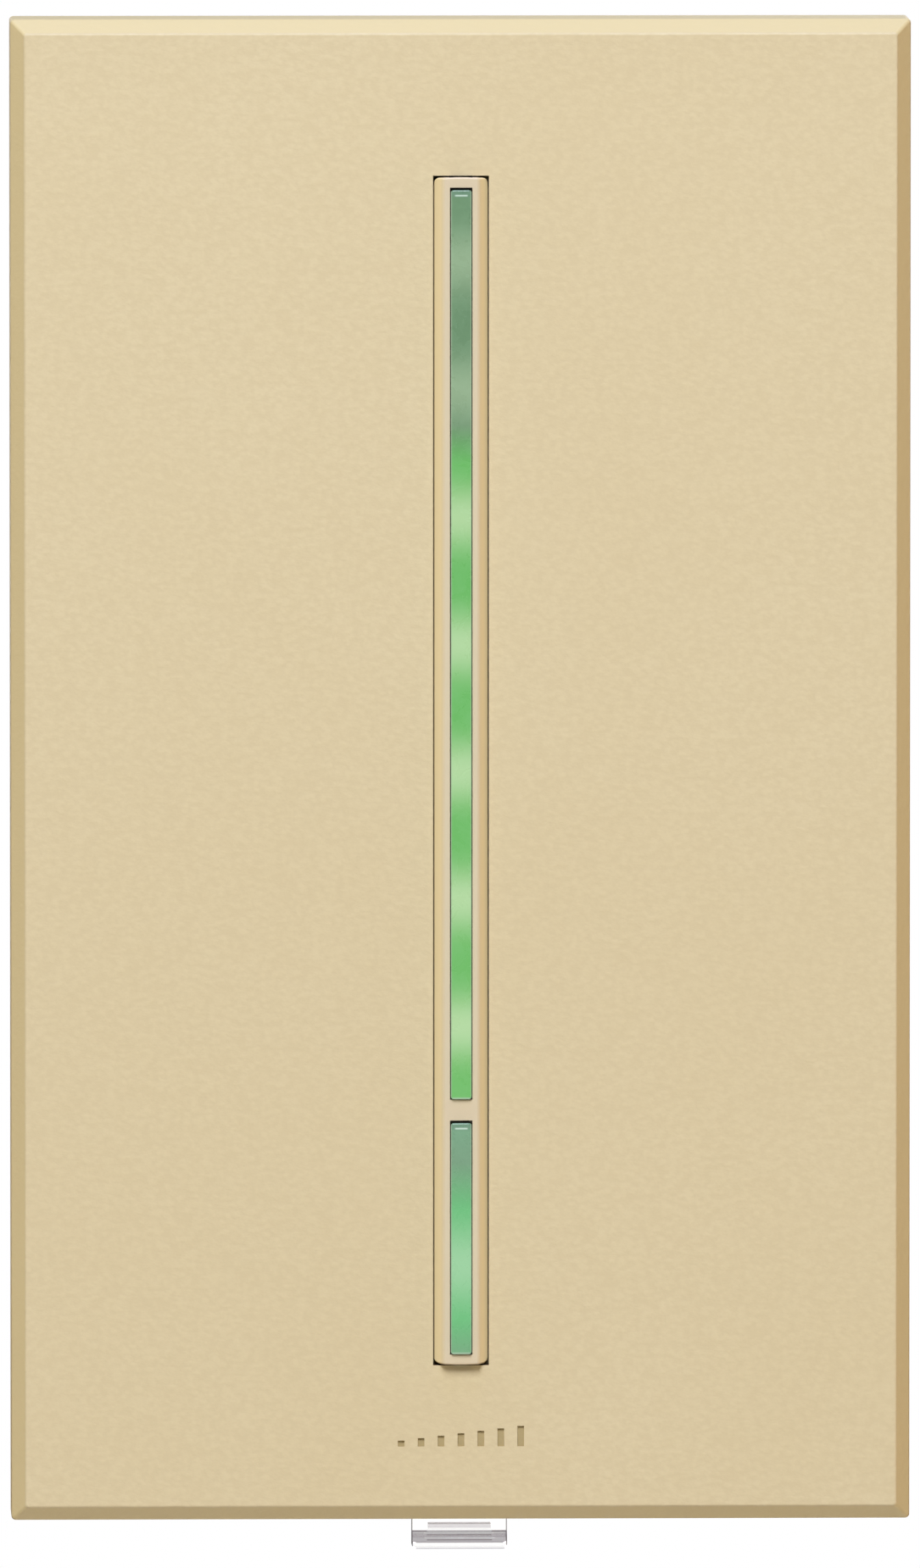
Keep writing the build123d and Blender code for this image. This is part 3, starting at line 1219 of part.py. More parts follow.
with BuildPart() as electrolytic_capacitor:
    with BuildSketch(at_height(component_front - ELECTROLYTIC_LENGTH)):
        with Locations(ELECTROLYTIC_CENTRE):
            Circle(ELECTROLYTIC_RADIUS)
    extrude(amount=ELECTROLYTIC_LENGTH)
    fillet(electrolytic_capacitor.edges().filter_by(GeomType.CIRCLE), COMPONENT_EDGE)
    with BuildSketch(at_height(component_front - CAN_GROOVE_OFFSET)):
        with Locations(ELECTROLYTIC_CENTRE):
            Circle(ELECTROLYTIC_RADIUS)
            Circle(ELECTROLYTIC_RADIUS - CAN_GROOVE, mode=Mode.SUBTRACT)
    extrude(amount=CAN_GROOVE, mode=Mode.SUBTRACT)
    with BuildSketch(at_height(component_front - COMPONENT_EDGE)):
        with Locations(*electrolytic_leads):
            Circle(LEAD_RADIUS)
    extrude(amount=lead_front - (component_front - COMPONENT_EDGE))
electrolytic_capacitor.part.label = "electrolytic_capacitor"
export_step(electrolytic_capacitor.part, "parts/electrolytic_capacitor.step")

with BuildPart() as varistor:
    with BuildSketch(Plane.XY.offset(VARISTOR_CENTRE[1] - VARISTOR_THICKNESS / 2)):
        with Locations((VARISTOR_CENTRE[0], -component_front + VARISTOR_RADIUS)):
            Circle(VARISTOR_RADIUS)
    extrude(amount=VARISTOR_THICKNESS)
    fillet(varistor.edges().filter_by(GeomType.CIRCLE), VARISTOR_EDGE)
    with BuildSketch(at_height(component_front - VARISTOR_RADIUS)):
        with Locations(*varistor_leads):
            Circle(LEAD_RADIUS)
    extrude(amount=lead_front - (component_front - VARISTOR_RADIUS))
varistor.part.label = "varistor"
export_step(varistor.part, "parts/varistor.step")

with BuildPart() as microcontroller:
    with BuildSketch(at_height(power_front)):
        with Locations(MICRO_CENTRE):
            Rectangle(MICRO_SIZE, MICRO_SIZE)
    extrude(amount=MICRO_THICKNESS)
    chamfer(microcontroller.faces().sort_by(Axis.Y)[0].edges(), COMPONENT_EDGE / 2)
    with BuildSketch(at_height(power_front)):
        with Locations(MICRO_CENTRE):
            with GridLocations(MICRO_LEAD_PITCH, MICRO_SIZE, MICRO_LEADS, 1):
                Rectangle(MICRO_LEAD_PITCH / 2, MICRO_SIZE + 2 * MICRO_LEAD_REACH)
            with GridLocations(MICRO_SIZE, MICRO_LEAD_PITCH, 1, MICRO_LEADS):
                Rectangle(MICRO_SIZE + 2 * MICRO_LEAD_REACH, MICRO_LEAD_PITCH / 2)
    extrude(amount=MICRO_THICKNESS / 4)
microcontroller.part.label = "microcontroller"
export_step(microcontroller.part, "parts/microcontroller.step")

with BuildPart() as board_resistors:
    with BuildSketch(at_height(power_front)):
        with Locations(RESISTOR_CENTRE):
            with GridLocations(*RESISTOR_PITCH, 2, 3):
                Rectangle(RESISTOR[0], RESISTOR[1])
    extrude(amount=RESISTOR[2])
board_resistors.part.label = "board_resistors"
export_step(board_resistors.part, "parts/board_resistors.step")

with BuildPart() as module_socket:
    with BuildSketch(at_height(power_front)):
        with Locations((0, HEADER_Z)):
            Rectangle(SOCKET_WIDTH, SOCKET_LENGTH)
    extrude(amount=SOCKET_FRONT - power_front)
    with BuildSketch(at_height(HEADER_PIN_END - PIN_CLEARANCE)):
        with Locations(*header_places):
            Rectangle(pin_hole, pin_hole)
    extrude(amount=SOCKET_FRONT - HEADER_PIN_END + PIN_CLEARANCE, mode=Mode.SUBTRACT)
module_socket.part.label = "module_socket"
export_step(module_socket.part, "parts/module_socket.step")


# ---------------------------------------------------------------- service switch
with BuildPart() as service_pull_tab:
    # tongue that shows below the plate, cross bar, two legs and the bridge over the cam
    with BuildSketch(at_height(tab_rear)):
        span(-TAB_WIDTH / 2, TAB_WIDTH / 2, tab_end, fork_bottom)
        span(-FORK_HALF_WIDTH, FORK_HALF_WIDTH, fork_bottom, fork_top)
        span(-FORK_INNER, FORK_INNER, fork_window_bottom, fork_window_top, mode=Mode.SUBTRACT)
    extrude(amount=TAB_THICKNESS)
    # finger grip: the tongue thickens towards a rounded lip
    grip_start = tab_end + GRIP_START
    with BuildSketch(Plane.YZ.offset(-TAB_WIDTH / 2)):
        with BuildLine():
            Polyline(
                (-tab_front, grip_start),
                (-tab_front - GRIP_DEPTH, tab_end + GRIP_LIP),
                (-tab_front - GRIP_DEPTH, tab_end),
                (-tab_front, tab_end),
                close=True,
            )
        make_face()
    extrude(amount=TAB_WIDTH)
    tip_edges = service_pull_tab.edges().filter_by(Axis.Y).group_by(Axis.Z)[0]
    fillet(tip_edges, TAB_CORNER)
    lip_edge = service_pull_tab.edges().filter_by(Axis.X).group_by(Axis.Z)[0].sort_by(Axis.Y)[0]
    fillet(lip_edge, TAB_CORNER / 2)
    # raised ridge above the grip
    with BuildSketch(at_height(tab_front)):
        with BuildLine():
            Polyline(
                (-RIDGE_WIDTH / 2, grip_start),
                (-RIDGE_TOP_WIDTH / 2, grip_start + RIDGE_LENGTH),
                (RIDGE_TOP_WIDTH / 2, grip_start + RIDGE_LENGTH),
                (RIDGE_WIDTH / 2, grip_start),
                close=True,
            )
        make_face()
    extrude(amount=RIDGE_DEPTH)
    # hole for the cam's peg
    with BuildSketch(at_height(tab_rear)):
        with Locations((sum(CAM_X) / 2, (cam_stem_bottom + cam_stem_top) / 2)):
            Circle(CAM_PEG + THREAD_CLEARANCE)
    extrude(amount=TAB_THICKNESS, mode=Mode.SUBTRACT)
service_pull_tab.part.label = "service_pull_tab"
export_step(service_pull_tab.part, "parts/service_pull_tab.step")

# cam finger: a stem through the yoke, then a foot with the wedge under the follower
with BuildPart() as switch_cam:
    wedge_start = follower_z - FOLLOWER_RADIUS - CAM_OVERRUN
    wedge_low = cam_at_follower + (wedge_start - follower_z) * cam_slope
    wedge_high = cam_at_follower + (cam_end - follower_z) * cam_slope
    with BuildSketch(Plane.YZ.offset(CAM_X[0])):
        with BuildLine():
            Polyline(
                (-tab_rear, cam_stem_bottom),
                (-tab_rear, cam_stem_top),
                (-wedge_low, cam_stem_top),
                (-wedge_low, wedge_start),
                (-wedge_high, cam_end),
                (-CAM_REAR, cam_end),
                (-CAM_REAR, cam_stem_bottom),
                close=True,
            )
        make_face()
    extrude(amount=CAM_X[1] - CAM_X[0])
    with BuildSketch(at_height(tab_rear)):
        with Locations((sum(CAM_X) / 2, (cam_stem_bottom + cam_stem_top) / 2)):
            Circle(CAM_PEG)
    extrude(amount=TAB_THICKNESS)
switch_cam.part.label = "switch_cam"
export_step(switch_cam.part, "parts/switch_cam.step")

# spring-brass arm: barrel on the hinge pin, strip, follower ear and contact rivet
with BuildPart() as contact_arm:
    with BuildSketch(at_height(arm_rear)):
        span(-ARM_WIDTH / 2, ARM_WIDTH / 2, contact_z - ARM_TIP, ARM_PIVOT_Z)
    extrude(amount=ARM_THICKNESS)
    with BuildSketch(Plane.YZ.offset(-ARM_WIDTH / 2)):
        with Locations((-ARM_HEIGHT, ARM_PIVOT_Z)):
            Circle(BARREL_RADIUS)
    extrude(amount=ARM_WIDTH)
    with BuildSketch(Plane.YZ):
        with Locations((-ARM_HEIGHT, follower_z)):
            Circle(FOLLOWER_RADIUS)
    extrude(amount=FOLLOWER_REACH)
    with BuildSketch(at_height(arm_rear - RIVET_HEIGHT)):
        with Locations((0, contact_z)):
            Circle(RIVET_RADIUS)
    extrude(amount=RIVET_HEIGHT)
    with BuildSketch(Plane.YZ.offset(-ARM_WIDTH / 2)):
        with Locations((-ARM_HEIGHT, ARM_PIVOT_Z)):
            Circle(HINGE_PIN + HINGE_CLEARANCE)
    extrude(amount=ARM_WIDTH, mode=Mode.SUBTRACT)
contact_arm.part.label = "contact_arm"
export_step(contact_arm.part, "parts/contact_arm.step")

with BuildPart() as contact_arm_pin:
    with BuildSketch(Plane.YZ.offset(-bracket_ear_x - BRACKET_WALL / 2)):
        with Locations((-ARM_HEIGHT, ARM_PIVOT_Z)):
            Circle(HINGE_PIN)
    extrude(amount=2 * bracket_ear_x + BRACKET_WALL)
contact_arm_pin.part.label = "contact_arm_pin"
export_step(contact_arm_pin.part, "parts/contact_arm_pin.step")

with BuildPart() as contact_arm_bracket:
    with BuildSketch(at_height(power_front)):
        with Locations((0, ARM_PIVOT_Z)):
            Rectangle(2 * bracket_ear_x + BRACKET_WALL, BRACKET_LENGTH)
    extrude(amount=BRACKET_WALL)
    with BuildSketch(at_height(power_front)):
        with Locations((-bracket_ear_x, ARM_PIVOT_Z), (bracket_ear_x, ARM_PIVOT_Z)):
            Rectangle(BRACKET_WALL, BRACKET_EAR)
    extrude(amount=ARM_HEIGHT + BARREL_RADIUS - power_front)
    with BuildSketch(Plane.YZ.offset(-bracket_ear_x - BRACKET_WALL / 2)):
        with Locations((-ARM_HEIGHT, ARM_PIVOT_Z)):
            Circle(HINGE_PIN)
    extrude(amount=2 * bracket_ear_x + BRACKET_WALL, mode=Mode.SUBTRACT)
contact_arm_bracket.part.label = "contact_arm_bracket"
export_step(contact_arm_bracket.part, "parts/contact_arm_bracket.step")

with BuildPart() as fixed_contact:
    with BuildSketch(at_height(power_front)):
        with Locations((0, contact_z)):
            Rectangle(FIXED_CONTACT_WIDTH, 2 * RIVET_RADIUS)
    extrude(amount=fixed_contact_front - RIVET_HEIGHT - power_front)
    with BuildSketch(at_height(fixed_contact_front - RIVET_HEIGHT)):
        with Locations((0, contact_z)):
            Circle(RIVET_RADIUS)
    extrude(amount=RIVET_HEIGHT)
fixed_contact.part.label = "fixed_contact"
export_step(fixed_contact.part, "parts/fixed_contact.step")
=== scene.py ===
"""Looks of a touch-rail wall dimmer: ivory faceplate, green light bars, clear pull tab, housing."""

import json
import math
import bpy
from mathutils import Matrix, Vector


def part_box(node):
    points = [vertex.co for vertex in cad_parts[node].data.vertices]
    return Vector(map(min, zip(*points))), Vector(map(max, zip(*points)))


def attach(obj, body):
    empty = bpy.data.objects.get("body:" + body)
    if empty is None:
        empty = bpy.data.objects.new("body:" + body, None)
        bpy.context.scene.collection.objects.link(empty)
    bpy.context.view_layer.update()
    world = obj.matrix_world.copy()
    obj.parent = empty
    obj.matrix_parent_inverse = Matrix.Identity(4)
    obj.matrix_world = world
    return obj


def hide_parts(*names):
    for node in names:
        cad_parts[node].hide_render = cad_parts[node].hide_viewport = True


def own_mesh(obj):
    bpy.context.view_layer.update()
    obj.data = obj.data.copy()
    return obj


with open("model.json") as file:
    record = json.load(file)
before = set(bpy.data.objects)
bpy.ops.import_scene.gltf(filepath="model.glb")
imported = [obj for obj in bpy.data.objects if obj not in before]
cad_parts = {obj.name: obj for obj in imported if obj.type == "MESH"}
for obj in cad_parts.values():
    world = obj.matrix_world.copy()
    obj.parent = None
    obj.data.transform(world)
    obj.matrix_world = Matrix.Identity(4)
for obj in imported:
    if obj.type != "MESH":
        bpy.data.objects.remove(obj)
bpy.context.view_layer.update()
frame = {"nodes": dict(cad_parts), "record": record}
MM = 0.001

# ---------------------------------------------------------------- places read from the frame
plate_low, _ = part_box("faceplate")
rail_low, rail_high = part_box("bezel")
screws_low, screws_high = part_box("mounting_screws")
_, cover_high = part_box("back_cover")
tab_low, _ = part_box("service_pull_tab")
upper_leds_low, upper_leds_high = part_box("upper_leds")
lower_led_low, lower_led_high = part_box("lower_led")

# lamps behind the light bars
LED_COUNT = 7
LED_HALF = 0.8 * MM
led_pitch = (upper_leds_high.z - upper_leds_low.z - 2 * LED_HALF) / (LED_COUNT - 1)
first_led_z = upper_leds_low.z + LED_HALF
lower_led_z = (lower_led_low.z + lower_led_high.z) / 2

# rail, the slot around it and the windows in it
RAIL_PROUD = 0.8 * MM
RAIL_FLAT_HALF = 1.45 * MM
RAIL_HALF_WIDTH = 2.23 * MM
SLOT_HALF_WIDTH = 2.6 * MM
BEHIND_FACE = 0.03 * MM
SLOT_END_CLEARANCE = 0.5 * MM
WINDOW_HALF_WIDTH = 0.96 * MM
rail_y = rail_low.y
face_y = rail_y + RAIL_PROUD

# light bars in their windows
FLANGE_OVERLAP = 0.35 * MM
TOP_GAP = 0.2 * MM
BOTTOM_GAP = 0.06 * MM
BAR_END_LENGTH = 0.7 * MM
CROWN_DEPTH = 0.1 * MM
DASH_BELOW_TOP = 0.45 * MM
DASH_HALF_LENGTH = 0.44 * MM
DASH_HALF_WIDTH = 0.03 * MM

# printed sensor pads and the track on either side of them
PAD_HALF_WIDTH = 2.6 * MM
SENSOR_LINE_X = 3.3 * MM

# ramp mark pressed into the plate
MARK_Z = plate_low.z + 7.0 * MM
MARK_HALF_WIDTH = 6.0 * MM
MARK_HALF_HEIGHT = 1.0 * MM

# clear tongue below the plate
TAB_HALF_WIDTH = 3.95 * MM
TONGUE_LENGTH = 8.0 * MM

# polarity stripe on the electrolytic capacitor
STRIPE_WIDTH = 0.9 * MM

# box screws
HEAD_RADIUS = 3.45 * MM
HEAD_HEIGHT = 1.9 * MM
NECK_RADIUS = 1.45 * MM
THREAD_CREST = 1.74 * MM
THREAD_ROOT = 1.38 * MM
THREAD_PITCH = 0.8 * MM
DRIVE_HALF = 0.35 * MM
DRIVE_DEPTH = 1.1 * MM

# film label in the back cover's recess
LABEL_RECESS = 0.3 * MM
LABEL_SUNK = 0.1 * MM
LABEL_HALF_WIDTH = 13.7 * MM
LABEL_HALF_HEIGHT = 21.7 * MM
LABEL_CORNER = 1.5 * MM
LABEL_EDGE = 0.05 * MM
LABEL_LINE_X = 12.0 * MM
LABEL_LINE_Z = 20.0 * MM


# ---------------------------------------------------------------- node helpers
def add(tree, kind, settings=None, **sockets):
    """Add a node. Settings are its own properties; sockets are input values or links."""
    made = tree.nodes.new(kind)
    for name, value in (settings or {}).items():
        setattr(made, name, value)
    for name, value in sockets.items():
        key = int(name[1:]) if name[0] == "i" and name[1:].isdigit() else name.replace("_", " ")
        if isinstance(value, bpy.types.NodeSocket):
            tree.links.new(value, made.inputs[key])
        else:
            made.inputs[key].default_value = value
    return made


def maths(tree, operation, *values):
    """Return the output of one Math node."""
    return add(tree, "ShaderNodeMath", {"operation": operation},
               **{f"i{i}": value for i, value in enumerate(values)}).outputs[0]


def colour_mix(tree, mask, first, second):
    """Return a colour that goes from first to second as the mask goes from 0 to 1."""
    mixed = add(tree, "ShaderNodeMix", {"data_type": "RGBA"}, i0=mask, i6=first, i7=second)
    return mixed.outputs[2]


def spread(tree, value, low, high, to_low, to_high):
    """Return a value moved from one range to another and held inside it."""
    return add(tree, "ShaderNodeMapRange", Value=value, i1=low, i2=high, i3=to_low,
               i4=to_high).outputs[0]


def within(tree, value, centre, half):
    """Return 1 where a value lies within half of its centre, and 0 elsewhere."""
    away = maths(tree, "ABSOLUTE", maths(tree, "SUBTRACT", value, centre))
    return maths(tree, "LESS_THAN", away, half)


def new_group(name, inputs, outputs):
    """Start a shader node group; return its tree, its input node and its output node."""
    group = bpy.data.node_groups.new(name, "ShaderNodeTree")
    for label, kind, value in inputs:
        made = group.interface.new_socket(label, in_out="INPUT", socket_type=kind)
        made.default_value = value
    for label, kind in outputs:
        group.interface.new_socket(label, in_out="OUTPUT", socket_type=kind)
    return group, group.nodes.new("NodeGroupInput"), group.nodes.new("NodeGroupOutput")


FLOAT, VECTOR = "NodeSocketFloat", "NodeSocketVector"


# ---------------------------------------------------------------- shared effects
def moulded_grain():
    """Fine sparked texture of a mould: irregular low pebbles with soft valleys."""
    group, given, out = new_group(
        "moulded_grain",
        [("Vector", VECTOR, (0, 0, 0)), ("Pebble", FLOAT, 2000.0)],
        [("Height", FLOAT), ("Valley", FLOAT)],
    )
    vector, pebble = given.outputs[:2]
    warp = add(group, "ShaderNodeTexNoise", Vector=vector, Scale=pebble, Detail=3.0,
               Roughness=0.6).outputs[0]
    cells = add(group, "ShaderNodeTexVoronoi", {"feature": "SMOOTH_F1"}, Vector=vector,
                Scale=maths(group, "MULTIPLY", pebble, 0.8), Smoothness=0.8).outputs[0]
    height = maths(group, "SUBTRACT", warp, maths(group, "MULTIPLY", cells, 0.45))
    group.links.new(height, out.inputs[0])
    group.links.new(spread(group, height, 0.15, 0.5, 1.0, 0.0), out.inputs[1])
    return group


def rolled_streaks():
    """Long fine streaks that rolling or brushing leaves in sheet metal."""
    group, given, out = new_group(
        "rolled_streaks",
        [("Vector", VECTOR, (0, 0, 0)), ("Along", VECTOR, (4000, 4000, 120))],
        [("Height", FLOAT), ("Streak", FLOAT)],
    )
    vector, along = given.outputs[:2]
    stretched = add(group, "ShaderNodeVectorMath", {"operation": "MULTIPLY"}, i0=vector,
                    i1=along).outputs[0]
    streak = add(group, "ShaderNodeTexNoise", Vector=stretched, Scale=1.0, Detail=4.0,
                 Roughness=0.7).outputs[0]
    group.links.new(streak, out.inputs[0])
    group.links.new(spread(group, streak, 0.3, 0.7, 0.0, 1.0), out.inputs[1])
    return group


def handling_marks():
    """Slow patches where a surface has been handled and dulled."""
    group, given, out = new_group(
        "handling_marks",
        [("Vector", VECTOR, (0, 0, 0)), ("Patch", FLOAT, 60.0)],
        [("Mask", FLOAT)],
    )
    vector, patch = given.outputs[:2]
    cloud = add(group, "ShaderNodeTexNoise", Vector=vector, Scale=patch, Detail=5.0,
                Roughness=0.6, Distortion=0.6).outputs[0]
    group.links.new(spread(group, cloud, 0.35, 0.68, 0.0, 1.0), out.inputs[0])
    return group


def fine_scratches():
    """Sparse hairline scratches that cross each other."""
    group, given, out = new_group(
        "fine_scratches",
        [("Vector", VECTOR, (0, 0, 0)), ("Density", FLOAT, 500.0)],
        [("Mask", FLOAT)],
    )
    vector, density = given.outputs[:2]
    lines = []
    for turn, stretch in ((0.5, 18.0), (1.9, 26.0)):
        turned = add(group, "ShaderNodeVectorRotate", {"rotation_type": "Y_AXIS"},
                     Vector=vector, Angle=turn).outputs[0]
        squeezed = add(group, "ShaderNodeVectorMath", {"operation": "MULTIPLY"}, i0=turned,
                       i1=(stretch, 1.0, 1.0)).outputs[0]
        noise = add(group, "ShaderNodeTexNoise", Vector=squeezed, Scale=density,
                    Detail=1.0).outputs[0]
        lines.append(spread(group, noise, 0.73, 0.78, 0.0, 1.0))
    group.links.new(maths(group, "MAXIMUM", *lines), out.inputs[0])
    return group


GRAIN = moulded_grain()
STREAKS = rolled_streaks()
MARKS = handling_marks()
SCRATCHES = fine_scratches()


def place(tree, group, **values):
    """Place a shared effect in a material and return its outputs."""
    return add(tree, "ShaderNodeGroup", {"node_tree": group}, **values).outputs


# ---------------------------------------------------------------- material base
def start(name, **fixed):
    """Return a new material's tree, shader and object coordinates; fixed are plain settings."""
    material = bpy.data.materials.new(name)
    material.use_nodes = True
    tree = material.node_tree
    shader = tree.nodes["Principled BSDF"]
    for key, value in fixed.items():
        shader.inputs[key.replace("_", " ")].default_value = value
    here = tree.nodes.new("ShaderNodeTexCoord").outputs["Object"]
    return material, tree, shader, here


def paint(tree, shader, colour=None, roughness=None, height=None, relief=0.0):
    """Link a colour, a roughness and a surface height, relief metres deep, to the shader."""
    if colour is not None:
        tree.links.new(colour, shader.inputs["Base Color"])
    if roughness is not None:
        tree.links.new(roughness, shader.inputs["Roughness"])
    if height is not None:
        bump = add(tree, "ShaderNodeBump", Height=height, Distance=relief, Strength=1.0)
        tree.links.new(bump.outputs[0], shader.inputs["Normal"])


def shade(colour, factor):
    """Return a colour made lighter or darker."""
    return tuple(min(1.0, channel * factor) for channel in colour[:3]) + (1.0,)


# ---------------------------------------------------------------- plastics
def moulded_plastic(name, colour, pebble=2200.0, relief=0.00002, gloss=0.45, contrast=0.06,
                    **fixed):
    """Opaque moulded plastic with its mould's grain and faint handling marks."""
    material, tree, shader, here = start(name, **fixed)
    height, valley = place(tree, GRAIN, Vector=here, Pebble=pebble)[:2]
    marks = place(tree, MARKS, Vector=here, Patch=70.0)[0]
    dusty = colour_mix(tree, maths(tree, "MULTIPLY", marks, 0.35), shade(colour, 1.0),
                       shade(colour, 1 + contrast))
    tinted = colour_mix(tree, valley, dusty, shade(colour, 1 - contrast))
    roughness = spread(tree, marks, 0.0, 1.0, gloss, gloss + 0.1)
    paint(tree, shader, tinted, roughness, height, relief)
    return material


def ivory_face():
    """Faceplate: matte ivory with a fine leather-like mould texture, with painted shade in the
    rail's slot.
    """
    material, tree, shader, here = start("ivory_face", Specular_IOR_Level=0.35)
    x, y, z = add(tree, "ShaderNodeSeparateXYZ", Vector=here).outputs
    skin = add(tree, "ShaderNodeMapping", Vector=here, Scale=(0.75, 1.0, 1.2)).outputs[0]
    height, valley = place(tree, GRAIN, Vector=skin, Pebble=2300.0)[:2]
    soft = place(tree, GRAIN, Vector=skin, Pebble=1250.0)[0]
    marks = place(tree, MARKS, Vector=here, Patch=18.0)[0]
    ivory = colour_mix(tree, marks, IVORY, IVORY_WARM)
    ivory = colour_mix(tree, maths(tree, "MULTIPLY", valley, 0.5), ivory, IVORY_DEEP)
    # behind the face: the bevels, the ramp mark's floor and the slot's walls; the bevels get
    # painted warm bounce light
    below = spread(tree, y, face_y + BEHIND_FACE, face_y + BEHIND_FACE + 0.13 * MM, 0.0, 1.0)
    ivory = colour_mix(tree, below, ivory, BEVEL_PAINTED_BOUNCE)
    # painted shade on the ramp mark's recessed floor
    in_mark = maths(tree, "MULTIPLY", within(tree, x, 0.0, MARK_HALF_WIDTH),
                    within(tree, z, MARK_Z, MARK_HALF_HEIGHT))
    ivory = colour_mix(tree, maths(tree, "MULTIPLY", below, in_mark), ivory, MARK_PAINTED_SHADE)
    # painted shade on the slot's walls around the rail
    in_slot = maths(tree, "MULTIPLY", within(tree, x, 0.0, SLOT_HALF_WIDTH),
                    within(tree, z, 0.0, rail_high.z + SLOT_END_CLEARANCE))
    ivory = colour_mix(tree, maths(tree, "MULTIPLY", below, in_slot), ivory, SLOT_PAINTED_SHADE)
    relief = maths(tree, "ADD", height, maths(tree, "MULTIPLY", soft, 0.5))
    paint(tree, shader, ivory, spread(tree, valley, 0.0, 1.0, 0.5, 0.6), relief, 0.00002)
    return material


def ivory_rail():
    """Rail and bezel: the same ivory, smoother and a little pinker, crowned on its two slopes."""
    material, tree, shader, here = start("ivory_rail", Specular_IOR_Level=0.5)
    x, y, _ = add(tree, "ShaderNodeSeparateXYZ", Vector=here).outputs
    side = maths(tree, "ABSOLUTE", x)
    height = place(tree, GRAIN, Vector=here, Pebble=2600.0)[0]
    scratch = place(tree, SCRATCHES, Vector=here, Density=420.0)[0]
    marks = place(tree, MARKS, Vector=here, Patch=90.0)[0]
    ivory = colour_mix(tree, marks, RAIL_IVORY, shade(RAIL_IVORY, 0.97))
    # painted light: the two slopes are tinted warmer, as bounce light falls on them
    ivory = colour_mix(tree, spread(tree, side, 1.3 * MM, 1.75 * MM, 0.0, 1.0), ivory, RAIL_SLOPE_PAINTED_LIGHT)
    # painted shade: black walls in the windows, and a darker band between the rail and its slot
    # painted shade: the walls inside the windows turn black
    in_window = maths(tree, "LESS_THAN", side, WINDOW_HALF_WIDTH)
    deep = spread(tree, y, rail_y + 0.1 * MM, rail_y + 0.25 * MM, 0.0, 1.0)
    ivory = colour_mix(tree, maths(tree, "MULTIPLY", in_window, deep), ivory, WINDOW_PAINTED_SHADE)
    # painted shade in the gap between the rail and its slot
    shade_start = spread(tree, y, face_y + 0.38 * MM, face_y + 0.6 * MM, 0.0, 1.0)
    shade_end = spread(tree, y, face_y + 1.1 * MM, face_y + 1.6 * MM, 1.0, 0.0)
    ivory = colour_mix(tree, maths(tree, "MULTIPLY", shade_start, shade_end), ivory, GAP_PAINTED_SHADE)
    roughness = maths(tree, "ADD", spread(tree, marks, 0.0, 1.0, 0.3, 0.38),
                      maths(tree, "MULTIPLY", scratch, 0.12))
    crown = spread(tree, side, RAIL_FLAT_HALF, RAIL_HALF_WIDTH, 0.0, SLOPE_CROWN)
    height = maths(tree, "ADD", maths(tree, "MULTIPLY", height, 0.008), crown)
    paint(tree, shader, ivory, roughness, height, 0.0005)
    return material


def from_first_lamp(tree, z):
    """Distance above the upper bar's lowest lamp."""
    return maths(tree, "SUBTRACT", z, first_led_z)


def from_lower_lamp(tree, z):
    """Distance to either side of the lower bar's one lamp."""
    return maths(tree, "ABSOLUTE", maths(tree, "SUBTRACT", z, lower_led_z))


